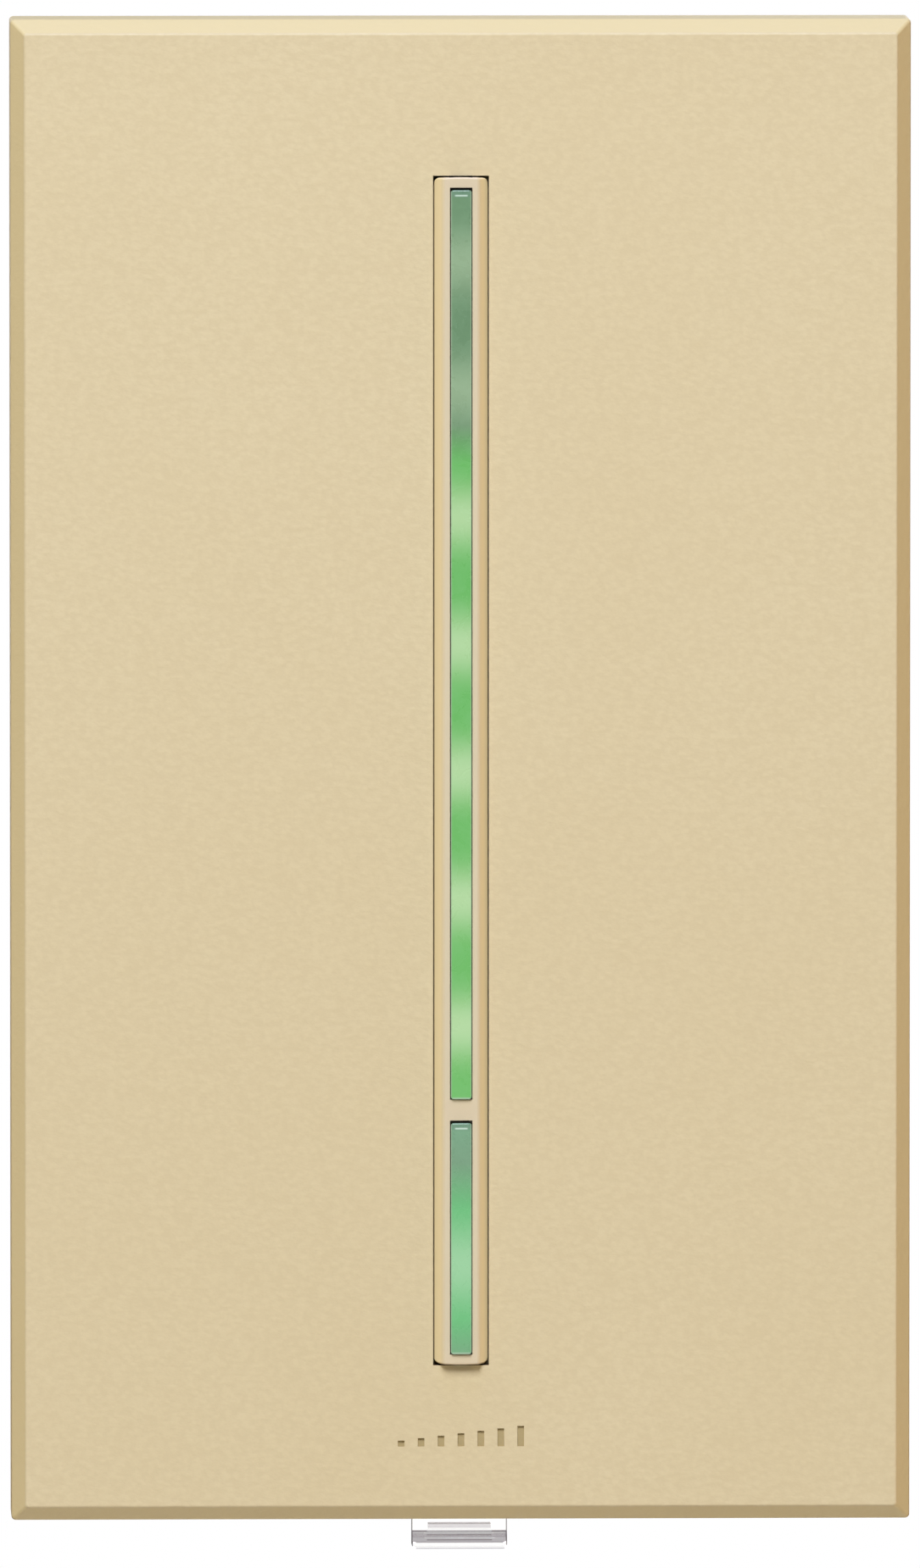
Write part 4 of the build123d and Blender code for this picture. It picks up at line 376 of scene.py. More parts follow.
def bar_glow(name, node, along_spots, pitch, fade, lit, unlit):
    """Frosted light guide lit from behind: a soft spot at each lamp, plain where they are off.

    along_spots turns the tree and z into the distance from the first spot; lit and unlit are
    pairs of colours, at a spot and between two; fade is where lit gives way to unlit.
    """
    low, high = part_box(node)
    top, bottom = high.z - FLANGE_OVERLAP - TOP_GAP, low.z + FLANGE_OVERLAP + BOTTOM_GAP
    material, tree, shader, here = start(name, Emission_Strength=GLOW, Specular_IOR_Level=0.5,
                                         Coat_Weight=0.3, Coat_Roughness=0.12)
    x, y, z = add(tree, "ShaderNodeSeparateXYZ", Vector=here).outputs
    side = maths(tree, "ABSOLUTE", x)
    run = along_spots(tree, z)
    wave = maths(tree, "COSINE", maths(tree, "MULTIPLY", run, 2 * math.pi / pitch))
    spot = maths(tree, "POWER", spread(tree, wave, -1.0, 1.0, 0.0, 1.0), 1.7)
    off = spread(tree, run, fade[0], fade[1], 0.0, 1.0)
    glow = colour_mix(tree, spot, colour_mix(tree, off, lit[1], unlit[1]),
                      colour_mix(tree, off, lit[0], unlit[0]))
    # painted shade of a turned-down top end, and a painted highlight dash on it
    end = spread(tree, z, top - BAR_END_LENGTH, top - BAR_END_LENGTH / 2, 0.0, 0.75)
    glow = colour_mix(tree, end, glow, BAR_END_PAINTED_SHADE)
    # painted highlight: a pale dash where the key light would reflect
    from_dash = maths(tree, "ABSOLUTE", maths(tree, "SUBTRACT", z, top - DASH_BELOW_TOP))
    dash = maths(tree, "MULTIPLY",
                 spread(tree, side, DASH_HALF_LENGTH, DASH_HALF_LENGTH + 0.14 * MM, 1.0, 0.0),
                 spread(tree, from_dash, DASH_HALF_WIDTH, DASH_HALF_WIDTH + 0.07 * MM, 1.0, 0.0))
    glow = colour_mix(tree, dash, glow, BAR_PAINTED_HIGHLIGHT)
    # painted highlights: paler rims along the sides and the bottom end
    painted_rim = maths(tree, "MAXIMUM", spread(tree, side, 0.74 * MM, 0.8 * MM, 0.0, 0.5),
                spread(tree, z, bottom + 0.2 * MM, bottom + 0.08 * MM, 0.0, 0.8))
    glow = colour_mix(tree, painted_rim, glow, BAR_HIGHLIGHT_AND_MOTTLE)
    # faint random mottle towards the same pale tone
    cloud = place(tree, MARKS, Vector=here, Patch=700.0)[0]
    glow = colour_mix(tree, maths(tree, "MULTIPLY", cloud, 0.05), glow, BAR_HIGHLIGHT_AND_MOTTLE)
    # only the crown glows: what lies inside the window is painted black as shade
    front = spread(tree, y, low.y + CROWN_DEPTH, low.y + CROWN_DEPTH + 0.12 * MM, 1.0, 0.0)
    tree.links.new(colour_mix(tree, front, WINDOW_PAINTED_SHADE, glow), shader.inputs["Emission Color"])
    body = colour_mix(tree, cloud, BAR_BODY, shade(BAR_BODY, 1.15))
    height = place(tree, GRAIN, Vector=here, Pebble=3500.0)[0]
    paint(tree, shader, colour_mix(tree, front, WINDOW_PAINTED_SHADE, body),
          spread(tree, cloud, 0.0, 1.0, 0.24, 0.34), height, 0.000002)
    return material


def clear_plastic():
    """Clear moulded polycarbonate with painted grey and dark refraction where its edges, ridge and
    grip trap the light.
    """
    material, tree, shader, here = start("clear_plastic", Transmission_Weight=1.0, IOR=1.49)
    x, _, z = add(tree, "ShaderNodeSeparateXYZ", Vector=here).outputs
    side = maths(tree, "ABSOLUTE", x)
    up = maths(tree, "SUBTRACT", z, tab_low.z)
    on_tongue = spread(tree, up, TONGUE_LENGTH, TONGUE_LENGTH + 0.1 * MM, 1.0, 0.0)

    def band(low, high, half_width, soft):
        """Mask of one painted refraction band across the tongue, between two heights above its lip.
        """
        rise = spread(tree, up, low, low + soft, 0.0, 1.0)
        fall = spread(tree, up, high - soft, high, 1.0, 0.0)
        across = maths(tree, "LESS_THAN", side, half_width)
        return maths(tree, "MULTIPLY", maths(tree, "MULTIPLY", rise, fall), across)

    # painted grey, dark and white refraction bands across the tongue
    clear = CLEAR
    for low, high, half_width, soft, tone in TAB_PAINTED_BANDS:
        clear = colour_mix(tree, band(low, high, half_width, soft), clear, tone)
    # painted dark refraction along the tongue's two flanks
    flank = spread(tree, side, TAB_HALF_WIDTH - 0.09 * MM, TAB_HALF_WIDTH - 0.04 * MM, 0.0, 1.0)
    clear = colour_mix(tree, maths(tree, "MULTIPLY", flank, on_tongue), clear, CLEAR_PAINTED_DARK)
    scratch = place(tree, SCRATCHES, Vector=here, Density=300.0)[0]
    flow = add(tree, "ShaderNodeTexNoise", Vector=here, Scale=260.0, Detail=2.0,
               Distortion=1.2).outputs[0]
    roughness = maths(tree, "ADD", spread(tree, flow, 0.3, 0.7, 0.02, 0.05),
                      maths(tree, "MULTIPLY", scratch, 0.06))
    paint(tree, shader, clear, roughness, flow, 0.000002)
    return material


# ---------------------------------------------------------------- metals
def stamped_metal(name, colour, along=(4000, 4000, 150), gloss=0.3, relief=0.000002, tarnish=0.25,
                  **fixed):
    """Sheet metal with rolling streaks, dull patches and a little tarnish."""
    material, tree, shader, here = start(name, Metallic=1.0, **fixed)
    height, streak = place(tree, STREAKS, Vector=here, Along=along)[:2]
    marks = place(tree, MARKS, Vector=here, Patch=110.0)[0]
    scratch = place(tree, SCRATCHES, Vector=here, Density=260.0)[0]
    metal = colour_mix(tree, maths(tree, "MULTIPLY", marks, tarnish), shade(colour, 1.0),
                       shade(colour, 0.55))
    metal = colour_mix(tree, maths(tree, "MULTIPLY", streak, 0.2), metal, shade(colour, 1.12))
    rough = maths(tree, "ADD", spread(tree, streak, 0.0, 1.0, gloss, gloss + 0.14),
                  maths(tree, "MULTIPLY", marks, 0.12))
    paint(tree, shader, metal, maths(tree, "ADD", rough, maths(tree, "MULTIPLY", scratch, 0.1)),
          height, relief)
    return material


# ---------------------------------------------------------------- boards, sheets and packages
def circuit_board(name, trace_scale):
    """Green board: copper tracks under the solder mask, over a faint weave."""
    material, tree, shader, here = start(name, Coat_Weight=0.4, Coat_Roughness=0.15)
    x, _, z = add(tree, "ShaderNodeSeparateXYZ", Vector=here).outputs
    runs = []
    for axis, other, shift in ((x, z, 0.3), (z, x, 0.7)):
        bent = add(tree, "ShaderNodeTexVoronoi", {"feature": "F1", "distance": "MANHATTAN"},
                   Vector=add(tree, "ShaderNodeCombineXYZ", X=axis, Y=shift, Z=other).outputs[0],
                   Scale=trace_scale / 4).outputs[2]
        offset = add(tree, "ShaderNodeSeparateXYZ", Vector=bent).outputs[0]
        lane = maths(tree, "FRACT", maths(tree, "ADD", maths(tree, "MULTIPLY", axis, trace_scale),
                                          offset))
        runs.append(within(tree, lane, 0.5, 0.14))
    zone = add(tree, "ShaderNodeTexNoise", Vector=here, Scale=trace_scale / 9,
               Detail=0.0).outputs[0]
    tracks = maths(tree, "MULTIPLY", maths(tree, "MAXIMUM", *runs),
                   maths(tree, "GREATER_THAN", zone, 0.47))
    weave = add(tree, "ShaderNodeTexNoise", Vector=here, Scale=3000.0, Detail=2.0).outputs[0]
    base = colour_mix(tree, weave, BOARD_GREEN, shade(BOARD_GREEN, 1.3))
    paint(tree, shader, colour_mix(tree, tracks, base, BOARD_TRACK),
          spread(tree, weave, 0.3, 0.7, 0.28, 0.4), tracks, 0.00003)
    return material


def lamp_package(name, glow, strength):
    """Moulded lamp: pale resin and its own light."""
    material, tree, shader, here = start(name, Emission_Strength=strength, Coat_Weight=0.5)
    cloud = place(tree, MARKS, Vector=here, Patch=900.0)[0]
    resin = colour_mix(tree, cloud, (0.78, 0.8, 0.6, 1), (0.9, 0.9, 0.82, 1))
    tree.links.new(colour_mix(tree, cloud, glow, shade(glow, 0.8)), shader.inputs["Emission Color"])
    paint(tree, shader, resin, spread(tree, cloud, 0.0, 1.0, 0.2, 0.3))
    return material


def printed_film():
    """Clear polyester film with a ladder of printed sensor pads."""
    material, tree, shader, here = start("printed_film", Coat_Weight=0.3, IOR=1.6)
    x, _, z = add(tree, "ShaderNodeSeparateXYZ", Vector=here).outputs
    step = maths(tree, "FRACT", maths(tree, "MULTIPLY", z, 1 / led_pitch))
    pads = within(tree, step, 0.5, 0.3)
    inside = within(tree, x, 0.0, PAD_HALF_WIDTH)
    line = within(tree, maths(tree, "ABSOLUTE", x), SENSOR_LINE_X, 0.18 * MM)
    ink = maths(tree, "MAXIMUM", maths(tree, "MULTIPLY", pads, inside), line)
    cloud = place(tree, MARKS, Vector=here, Patch=200.0)[0]
    film = colour_mix(tree, cloud, (0.72, 0.72, 0.66, 1), (0.8, 0.79, 0.72, 1))
    paint(tree, shader, colour_mix(tree, ink, film, (0.34, 0.35, 0.36, 1)),
          spread(tree, ink, 0.0, 1.0, 0.18, 0.42), ink, 0.000012)
    return material


def label_film():
    """Silver polyester label: satin film with an orange-peel print coat and a thin frame line."""
    material, tree, shader, here = start("label_film", Metallic=0.6, Coat_Weight=0.4)
    x, _, z = add(tree, "ShaderNodeSeparateXYZ", Vector=here).outputs
    beside = maths(tree, "ADD", maths(tree, "ABSOLUTE", x), LABEL_LINE_Z - LABEL_LINE_X)
    inset = maths(tree, "MAXIMUM", beside, maths(tree, "ABSOLUTE", z))
    frame_line = within(tree, inset, LABEL_LINE_Z, 0.15 * MM)
    peel = add(tree, "ShaderNodeTexNoise", Vector=here, Scale=1500.0, Detail=2.0).outputs[0]
    marks = place(tree, MARKS, Vector=here, Patch=120.0)[0]
    film = colour_mix(tree, marks, SILVER_FILM, shade(SILVER_FILM, 0.9))
    paint(tree, shader, colour_mix(tree, frame_line, film, (0.1, 0.1, 0.11, 1)),
          spread(tree, marks, 0.0, 1.0, 0.32, 0.44), peel, 0.000004)
    return material


def fibre_sheet(name, colour, scale=900.0):
    """Pressed fibre or paper: short crossed fibres and a slightly furred surface."""
    material, tree, shader, here = start(name)
    fibre = add(tree, "ShaderNodeTexNoise", Vector=here, Scale=scale, Detail=8.0,
                Roughness=0.75, Distortion=2.5).outputs[0]
    marks = place(tree, MARKS, Vector=here, Patch=120.0)[0]
    tint = colour_mix(tree, spread(tree, fibre, 0.35, 0.65, 0.0, 1.0), shade(colour, 0.8),
                      shade(colour, 1.18))
    paint(tree, shader, tint, spread(tree, marks, 0.0, 1.0, 0.62, 0.75), fibre, 0.00003)
    return material


def sleeve_with_stripe():
    """Shrink sleeve over a can: glossy dark blue with one pale polarity stripe."""
    material, tree, shader, here = start("black_sleeve", Coat_Weight=0.5, Coat_Roughness=0.1)
    _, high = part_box("electrolytic_capacitor")
    x = add(tree, "ShaderNodeSeparateXYZ", Vector=here).outputs[0]
    stripe = maths(tree, "GREATER_THAN", x, high.x - STRIPE_WIDTH)
    cloud = place(tree, MARKS, Vector=here, Patch=150.0)[0]
    sleeve = colour_mix(tree, cloud, (0.012, 0.014, 0.03, 1), (0.02, 0.024, 0.05, 1))
    paint(tree, shader, colour_mix(tree, stripe, sleeve, (0.6, 0.62, 0.66, 1)),
          spread(tree, cloud, 0.0, 1.0, 0.25, 0.36), cloud, 0.00001)
    return material


# ---------------------------------------------------------------- colours and strengths
SLOPE_CROWN = 1.5
GLOW = 0.8
IVORY = (0.735, 0.625, 0.392, 1)
IVORY_WARM = (0.72, 0.605, 0.37, 1)
IVORY_DEEP = (0.66, 0.545, 0.325, 1)
# painted light and shade on the ivory: bounce tint on the bevels and slopes, shade in the mark,
# slot, gap and windows
BEVEL_PAINTED_BOUNCE = (0.74, 0.615, 0.33, 1)
RAIL_IVORY = (0.725, 0.61, 0.42, 1)
RAIL_SLOPE_PAINTED_LIGHT = (0.81, 0.66, 0.36, 1)
MARK_PAINTED_SHADE = (0.46, 0.36, 0.18, 1)
SLOT_PAINTED_SHADE = (0.11, 0.05, 0.016, 1)
GAP_PAINTED_SHADE = (0.3, 0.18, 0.075, 1)
WINDOW_PAINTED_SHADE = (0.006, 0.005, 0.004, 1)
BAR_HIGHLIGHT_AND_MOTTLE = (0.42, 0.56, 0.42, 1)
CLEAR = (0.985, 0.98, 0.985, 1)
CLEAR_PAINTED_GREY = (0.62, 0.58, 0.62, 1)
CLEAR_PAINTED_DARK = (0.16, 0.13, 0.15, 1)
# painted refraction bands across the tongue: low and high above its lip, half width, soft edge,
# tone
TAB_PAINTED_BANDS = (
    (0.42 * MM, 1.34 * MM, TAB_HALF_WIDTH, 0.15 * MM, CLEAR_PAINTED_GREY),
    (0.66 * MM, 0.78 * MM, 2.7 * MM, 0.04 * MM, CLEAR_PAINTED_DARK),
    (0.84 * MM, 0.94 * MM, 2.9 * MM, 0.03 * MM, CLEAR),
    (1.34 * MM, 1.44 * MM, TAB_HALF_WIDTH, 0.03 * MM, CLEAR_PAINTED_DARK),
    (1.52 * MM, 2.08 * MM, 2.62 * MM, 0.25 * MM, CLEAR_PAINTED_GREY),
    (1.98 * MM, 2.1 * MM, 2.6 * MM, 0.03 * MM, CLEAR_PAINTED_DARK),
    (0.0, 0.1 * MM, TAB_HALF_WIDTH, 0.03 * MM, CLEAR_PAINTED_GREY),
)
BAR_END_PAINTED_SHADE = (0.09, 0.16, 0.13, 1)
BAR_PAINTED_HIGHLIGHT = (0.6, 0.72, 0.66, 1)
BAR_BODY = (0.06, 0.12, 0.07, 1)
LIT = ((0.46, 0.69, 0.34, 1), (0.09, 0.45, 0.06, 1))
UNLIT = ((0.28, 0.38, 0.235, 1), (0.10, 0.19, 0.095, 1))
LOWER_LIT = ((0.30, 0.61, 0.33, 1), (0.065, 0.46, 0.135, 1))
LOWER_UNLIT = ((0.13, 0.30, 0.19, 1), (0.12, 0.24, 0.15, 1))
SILVER_FILM = (0.62, 0.62, 0.63, 1)
BOARD_GREEN = (0.015, 0.13, 0.045, 1)
BOARD_TRACK = (0.03, 0.24, 0.09, 1)
BRASS = (0.72, 0.50, 0.20, 1)

finishes = {
    "ivory_textured_plastic": ivory_face(),
    "ivory_satin_plastic": ivory_rail(),
    "clear_polycarbonate": clear_plastic(),
    "black_acetal": moulded_plastic("black_acetal", (0.022, 0.022, 0.024), gloss=0.35),
    "grey_adapter_plastic": moulded_plastic("grey_adapter", (0.33, 0.33, 0.32), relief=0.00003),
    "black_housing_plastic": moulded_plastic("black_housing", (0.026, 0.026, 0.028), pebble=1300.0,
                                             relief=0.00005, gloss=0.5, contrast=0.25),
    "black_nylon": moulded_plastic("black_nylon", (0.03, 0.03, 0.032), gloss=0.42, contrast=0.2),
    "white_mask_plastic": moulded_plastic("white_mask", (0.82, 0.82, 0.79)),
    "silicone_rubber": moulded_plastic("silicone_rubber", (0.6, 0.61, 0.62), gloss=0.4),
    "yoke_aluminium": stamped_metal("yoke_aluminium", (0.80, 0.81, 0.82), gloss=0.32),
    "zinc_steel": stamped_metal("zinc_steel", (0.66, 0.68, 0.72), along=(900, 900, 900),
                                gloss=0.25),
    "brass": stamped_metal("stamped_brass", BRASS, gloss=0.25, tarnish=0.4),
    "spring_brass": stamped_metal("spring_brass", (0.80, 0.60, 0.28), gloss=0.2),
    "gold_pins": stamped_metal("gold_pins", (0.86, 0.66, 0.28), gloss=0.18, tarnish=0.1),
    "enamelled_copper": stamped_metal("enamelled_copper", (0.66, 0.24, 0.09), along=(700, 700, 700),
                                      gloss=0.16, Coat_Weight=0.8, Coat_Roughness=0.08),
    "green_screw_paint": stamped_metal("green_screw", (0.05, 0.42, 0.12), along=(1200, 1200, 1200),
                                       gloss=0.28),
    "clear_film": printed_film(),
    "led_package": lamp_package("led_package", LIT[0], 1.5),
    "green_circuit_board": circuit_board("circuit_board", 520.0),
    "red_fibre": fibre_sheet("red_fibre", (0.32, 0.06, 0.035)),
    "grey_fish_paper": fibre_sheet("fish_paper", (0.24, 0.25, 0.27), scale=600.0),
    "thermal_pad": fibre_sheet("thermal_pad", (0.44, 0.3, 0.27), scale=2200.0),
    "black_epoxy_package": moulded_plastic("epoxy_package", (0.02, 0.02, 0.022), pebble=3000.0,
                                           gloss=0.38, contrast=0.3),
    "ferrite": moulded_plastic("ferrite", (0.07, 0.07, 0.075), pebble=1800.0, gloss=0.5,
                               contrast=0.3),
    "yellow_box_capacitor": moulded_plastic("capacitor_box", (0.72, 0.46, 0.03), gloss=0.3),
    "black_sleeve": sleeve_with_stripe(),
    "blue_epoxy": moulded_plastic("dipped_epoxy", (0.025, 0.09, 0.36), pebble=400.0,
                                  relief=0.00012, gloss=0.15, Coat_Weight=0.6),
    "chip_ceramic": moulded_plastic("chip_ceramic", (0.035, 0.035, 0.04), gloss=0.35),
}
upper_glow = bar_glow("upper_bar_glow", "upper_light_bar", from_first_lamp, led_pitch,
                      (4.42 * led_pitch, 4.72 * led_pitch), LIT, UNLIT)
lower_glow = bar_glow("lower_bar_glow", "lower_light_bar", from_lower_lamp, 13 * MM,
                      (4.5 * MM, 8.5 * MM), LOWER_LIT, LOWER_UNLIT)

slot_of = {part["node"]: part["material_slot"] for part in frame["record"]["subparts"]}
for node, piece in frame["nodes"].items():
    piece.data.materials.clear()
    if node == "upper_light_bar":
        piece.data.materials.append(upper_glow)
    elif node == "lower_light_bar":
        piece.data.materials.append(lower_glow)
    else:
        piece.data.materials.append(finishes[slot_of[node]])


# ---------------------------------------------------------------- pieces of their own
def turned_piece(name, x, z, stations, around=32):
    """Turn a round piece on a front-to-back axis from stations of (height, radius)."""
    bpy.ops.object.select_all(action="DESELECT")
    height, radius = stations[0]
    bpy.ops.mesh.primitive_circle_add(vertices=around, radius=radius, fill_type="NGON",
                                      location=(x, -height, z), rotation=(math.radians(90), 0, 0))
    piece = bpy.context.object
    piece.name = name
    bpy.ops.object.transform_apply(location=True, rotation=True, scale=True)
    bpy.ops.object.mode_set(mode="EDIT")
    bpy.ops.mesh.select_all(action="SELECT")
    for next_height, next_radius in stations[1:]:
        bpy.ops.mesh.extrude_region_move(
            TRANSFORM_OT_translate={"value": (0, height - next_height, 0)})
        ratio = next_radius / radius
        bpy.ops.transform.resize(value=(ratio, 1, ratio), center_override=(x, -next_height, z))
        height, radius = next_height, next_radius
    bpy.ops.mesh.select_all(action="SELECT")
    bpy.ops.mesh.normals_make_consistent(inside=False)
    bpy.ops.object.mode_set(mode="OBJECT")
    return piece


def block(name, low, high):
    """Add a block between two corners, with its place in its mesh."""
    bpy.ops.object.select_all(action="DESELECT")
    middle = [(a + b) / 2 for a, b in zip(low, high)]
    bpy.ops.mesh.primitive_cube_add(size=1, location=middle)
    made = bpy.context.object
    made.name = name
    made.scale = [b - a for a, b in zip(low, high)]
    bpy.ops.object.transform_apply(location=True, rotation=True, scale=True)
    return made


def finish_with(piece, kind, **settings):
    """Put one modifier on a piece and apply it."""
    modifier = piece.modifiers.new(kind.lower(), kind)
    for name, value in settings.items():
        setattr(modifier, name, value)
    bpy.ops.object.select_all(action="DESELECT")
    piece.select_set(True)
    bpy.context.view_layer.objects.active = piece
    bpy.ops.object.modifier_apply(modifier=modifier.name)


def threaded_mounting_screws():
    """Two box screws: domed head with a cross recess, bare neck and a rolled thread."""
    front, tip = -screws_low.y, -screws_high.y
    seat = front - HEAD_HEIGHT
    z = screws_low.z + HEAD_RADIUS
    stations = [(front, 1.6 * MM), (front - 0.1 * MM, 2.4 * MM), (front - 0.35 * MM, 3.05 * MM),
                (front - 0.7 * MM, 3.36 * MM), (front - 1.0 * MM, HEAD_RADIUS),
                (seat + 0.15 * MM, HEAD_RADIUS), (seat, HEAD_RADIUS - 0.12 * MM),
                (seat, NECK_RADIUS), (0.0, NECK_RADIUS)]
    turns = int(-tip / THREAD_PITCH) - 1
    for turn in range(turns):
        root = -0.3 * MM - turn * THREAD_PITCH
        stations += [(root, THREAD_ROOT), (root - 0.32 * THREAD_PITCH, THREAD_CREST),
                     (root - 0.5 * THREAD_PITCH, THREAD_CREST),
                     (root - 0.82 * THREAD_PITCH, THREAD_ROOT)]
    stations += [(tip + 0.35 * MM, THREAD_ROOT), (tip, THREAD_ROOT - 0.4 * MM)]
    screw = turned_piece("threaded_mounting_screws", 0, z, stations)
    for half_x, half_z in ((HEAD_RADIUS / 2, DRIVE_HALF), (DRIVE_HALF, HEAD_RADIUS / 2)):
        cutter = block("drive_cutter", (-half_x, -front - MM, z - half_z),
                       (half_x, -front + DRIVE_DEPTH, z + half_z))
        finish_with(screw, "BOOLEAN", object=cutter, operation="DIFFERENCE", solver="EXACT")
        bpy.data.objects.remove(cutter)
    bpy.ops.object.select_all(action="DESELECT")
    screw.select_set(True)
    bpy.context.view_layer.objects.active = screw
    bpy.ops.object.duplicate()
    upper = bpy.context.object
    upper.location.z = -2 * z
    bpy.ops.object.transform_apply(location=True, rotation=True, scale=True)
    screw.select_set(True)
    bpy.context.view_layer.objects.active = screw
    bpy.ops.object.join()
    bpy.ops.object.shade_smooth_by_angle(angle=math.radians(40))
    screw.data.materials.append(finishes["zinc_steel"])
    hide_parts("mounting_screws")
    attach(screw, "device")


def rating_label():
    """Blank silver film in the back cover's recess, with rounded corners and a soft edge."""
    rear = cover_high.y
    label = block("rating_label", (-LABEL_HALF_WIDTH, rear - LABEL_RECESS, -LABEL_HALF_HEIGHT),
                  (LABEL_HALF_WIDTH, rear - LABEL_SUNK, LABEL_HALF_HEIGHT))
    bpy.ops.object.mode_set(mode="EDIT")
    bpy.ops.mesh.select_mode(type="EDGE")
    bpy.ops.mesh.select_all(action="DESELECT")
    bpy.ops.object.mode_set(mode="OBJECT")
    vertices = label.data.vertices
    for edge in label.data.edges:
        first, second = (vertices[i].co for i in edge.vertices)
        edge.select = abs(first.y - second.y) > 0.1 * MM
    bpy.ops.object.mode_set(mode="EDIT")
    bpy.ops.mesh.bevel(offset=LABEL_CORNER, segments=8)
    bpy.ops.object.mode_set(mode="OBJECT")
    finish_with(label, "BEVEL", width=LABEL_EDGE, segments=2, limit_method="ANGLE",
                angle_limit=math.radians(60))
    label.data.materials.append(label_film())
    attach(label, "device")


def squeezed_pads(name, node):
    """Copy the silicone pads of a light bar into a welded mesh of their own, in place of the hidden
    originals.
    """
    bpy.ops.object.select_all(action="DESELECT")
    pads = frame["nodes"][node].copy()
    pads.data = pads.data.copy()
    pads.name = name
    bpy.context.scene.collection.objects.link(pads)
    pads.select_set(True)
    bpy.context.view_layer.objects.active = pads
    bpy.ops.object.mode_set(mode="EDIT")
    bpy.ops.mesh.select_all(action="SELECT")
    bpy.ops.mesh.remove_doubles(threshold=0.001 * MM)
    bpy.ops.object.mode_set(mode="OBJECT")
    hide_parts(node)
    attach(pads, "device")
    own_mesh(pads)


threaded_mounting_screws()
rating_label()
squeezed_pads("squeezed_upper_pads", "upper_return_pads")
squeezed_pads("squeezed_lower_pads", "lower_return_pads")


# ---------------------------------------------------------------- studio
CAMERA_AZIMUTH = -1.5
CAMERA_ELEVATION = 4.0
CAMERA_DISTANCE = 2.4
CAMERA_AIM_X = -0.08 * MM
CAMERA_AIM_Z = -1.05 * MM
FRAME_HEIGHT = 129.65 * MM
WORLD_FILL = 0.02
EDGE_DARK = 0.1
WARM_BOUNCE = (1.0, 0.5, 0.12)
FLOOR_RADIUS = 0.4
FLOOR_DROP = 0.4


def soft_light(name, place, aim, size, watts, tint=(1, 1, 1)):
    """Add a square soft light at a place, turned to its aim."""
    lamp = bpy.data.lights.new(name, "AREA")
    lamp.shape = "SQUARE"
    lamp.size = size
    lamp.energy = watts
    lamp.color = tint
    made = bpy.data.objects.new(name, lamp)
    made.location = place
    made.rotation_euler = (Vector(aim) - Vector(place)).to_track_quat("-Z", "Y").to_euler()
    bpy.context.scene.collection.objects.link(made)
    return made


def studio_world():
    """White to the camera and straight through clear plastic, a dim fill to everything else."""
    world = bpy.data.worlds.new("studio")
    world.use_nodes = True
    tree = world.node_tree
    tree.nodes.clear()
    rays = add(tree, "ShaderNodeLightPath").outputs
    seen = maths(tree, "MAXIMUM", rays["Is Camera Ray"], rays["Is Transmission Ray"])
    heading = add(tree, "ShaderNodeTexCoord").outputs["Generated"]
    _, y, _ = add(tree, "ShaderNodeSeparateXYZ", Vector=heading).outputs
    behind = spread(tree, maths(tree, "ABSOLUTE", y), 0.8, 0.975, EDGE_DARK, 1.0)
    bright = maths(tree, "MAXIMUM", behind, rays["Is Camera Ray"])
    dim = add(tree, "ShaderNodeBackground", Color=(1, 1, 1, 1), Strength=WORLD_FILL).outputs[0]
    white = add(tree, "ShaderNodeBackground", Color=(1, 1, 1, 1), Strength=bright).outputs[0]
    mixed = add(tree, "ShaderNodeMixShader", i0=seen, i1=dim, i2=white).outputs[0]
    add(tree, "ShaderNodeOutputWorld", Surface=mixed)
    bpy.context.scene.world = world


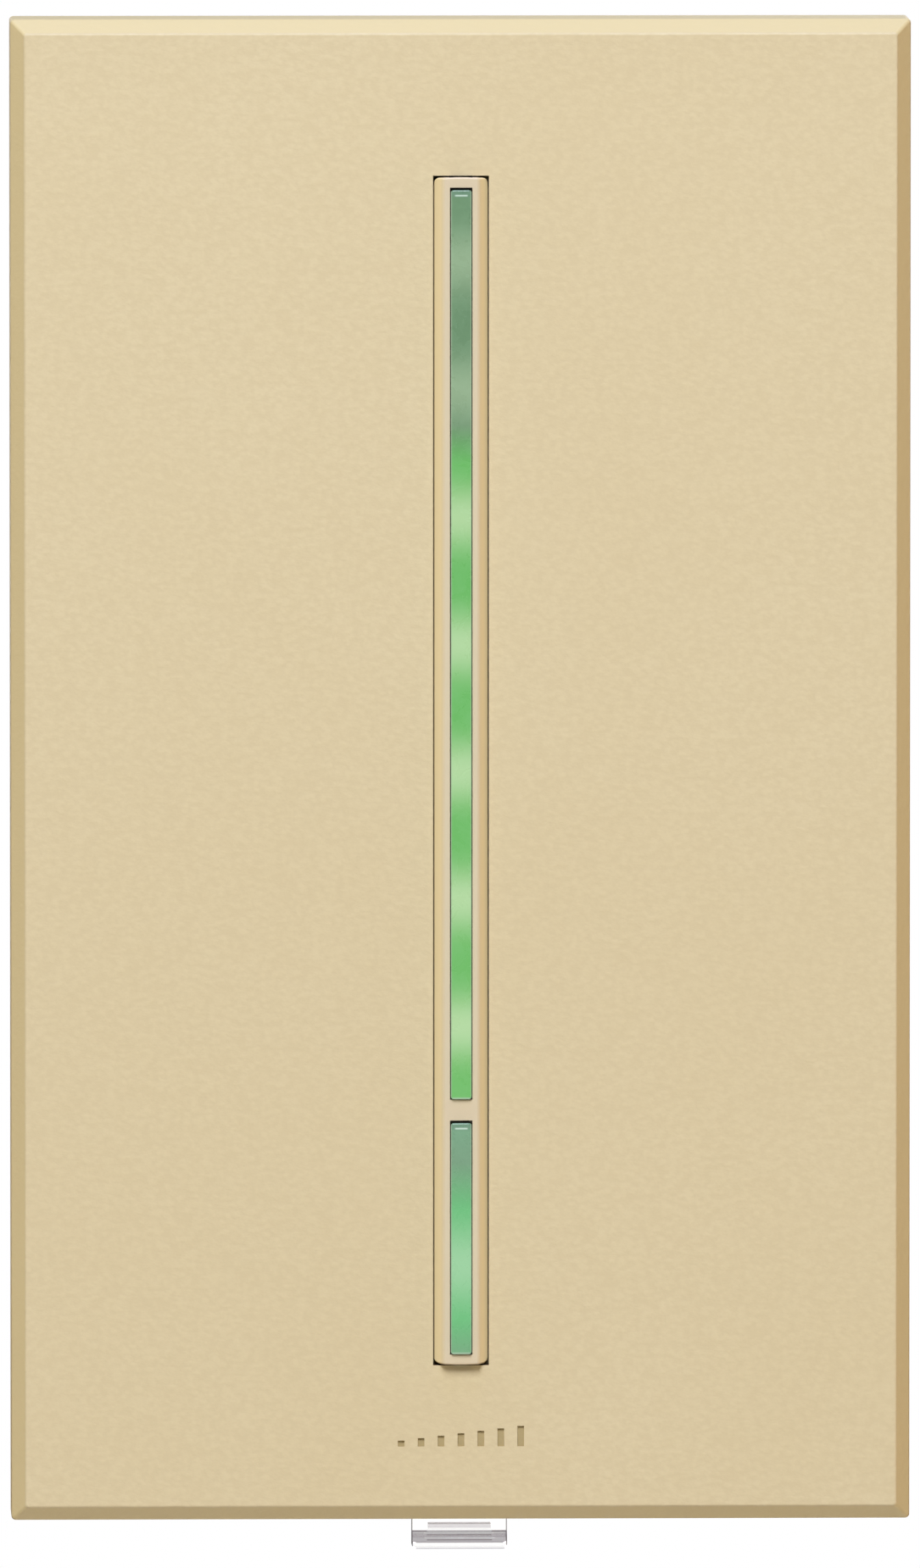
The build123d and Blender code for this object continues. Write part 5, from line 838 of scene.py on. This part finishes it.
def studio_floor():
    """Pale matte floor, well below the dimmer, with a faint mottling."""
    bpy.ops.object.select_all(action="DESELECT")
    bpy.ops.mesh.primitive_circle_add(vertices=96, radius=FLOOR_RADIUS, fill_type="NGON",
                                      location=(0, 0, -FLOOR_DROP))
    floor = bpy.context.object
    floor.name = "studio_floor"
    material, tree, shader, here = start("studio_floor", Roughness=0.8)
    marks = place(tree, MARKS, Vector=here, Patch=6.0)[0]
    paint(tree, shader, colour_mix(tree, marks, (0.86, 0.86, 0.85, 1), (0.9, 0.9, 0.89, 1)))
    floor.data.materials.append(material)


def front_camera():
    """Long-lens camera, a little above and to the left of the plate's own axis."""
    optics = bpy.data.cameras.new("front_camera")
    camera = bpy.data.objects.new("front_camera", optics)
    bpy.context.scene.collection.objects.link(camera)
    azimuth, elevation = math.radians(CAMERA_AZIMUTH), math.radians(CAMERA_ELEVATION)
    back = Vector((math.sin(azimuth) * math.cos(elevation),
                   -math.cos(azimuth) * math.cos(elevation), math.sin(elevation)))
    aim = Vector((CAMERA_AIM_X, face_y, CAMERA_AIM_Z))
    camera.location = aim + back * CAMERA_DISTANCE
    camera.rotation_euler = (-back).to_track_quat("-Z", "Y").to_euler()
    optics.lens = optics.sensor_width * CAMERA_DISTANCE / FRAME_HEIGHT
    optics.clip_end = 20.0
    bpy.context.scene.camera = camera


front_camera()
studio_world()
studio_floor()
soft_light("key_above", (-0.15, -0.9, 0.88), (0, 0, 0), 0.6, 17.6, (0.985, 1.0, 1.08))
soft_light("top_light", (0.0, -0.12, 0.9), (0, 0, 0), 0.4, 1.9, (0.12, 0.27, 1.0))
soft_light("front_fill", (-0.05, -1.5, -0.5), (0, 0, -0.03), 0.8, 3.3, (0.95, 1.0, 0.72))
soft_light("bounce_left", (-0.6, -0.12, 0.0), (0, 0, 0), 0.4, 0.35, WARM_BOUNCE)
soft_light("bounce_right", (0.6, -0.12, 0.0), (0, 0, 0), 0.4, 0.8, WARM_BOUNCE)
soft_light("bounce_below", (0.0, -0.12, -0.28), (0, 0, 0), 0.3, 0.06, WARM_BOUNCE)
soft_light("back_fill", (0.5, 1.2, 0.5), (0, 0, 0), 0.8, 6.0)
soft_light("back_rim", (-0.5, 1.0, 0.2), (0, 0.01, 0), 0.6, 3.0)

view = bpy.context.scene.view_settings
view.view_transform = "Standard"
view.look = "None"
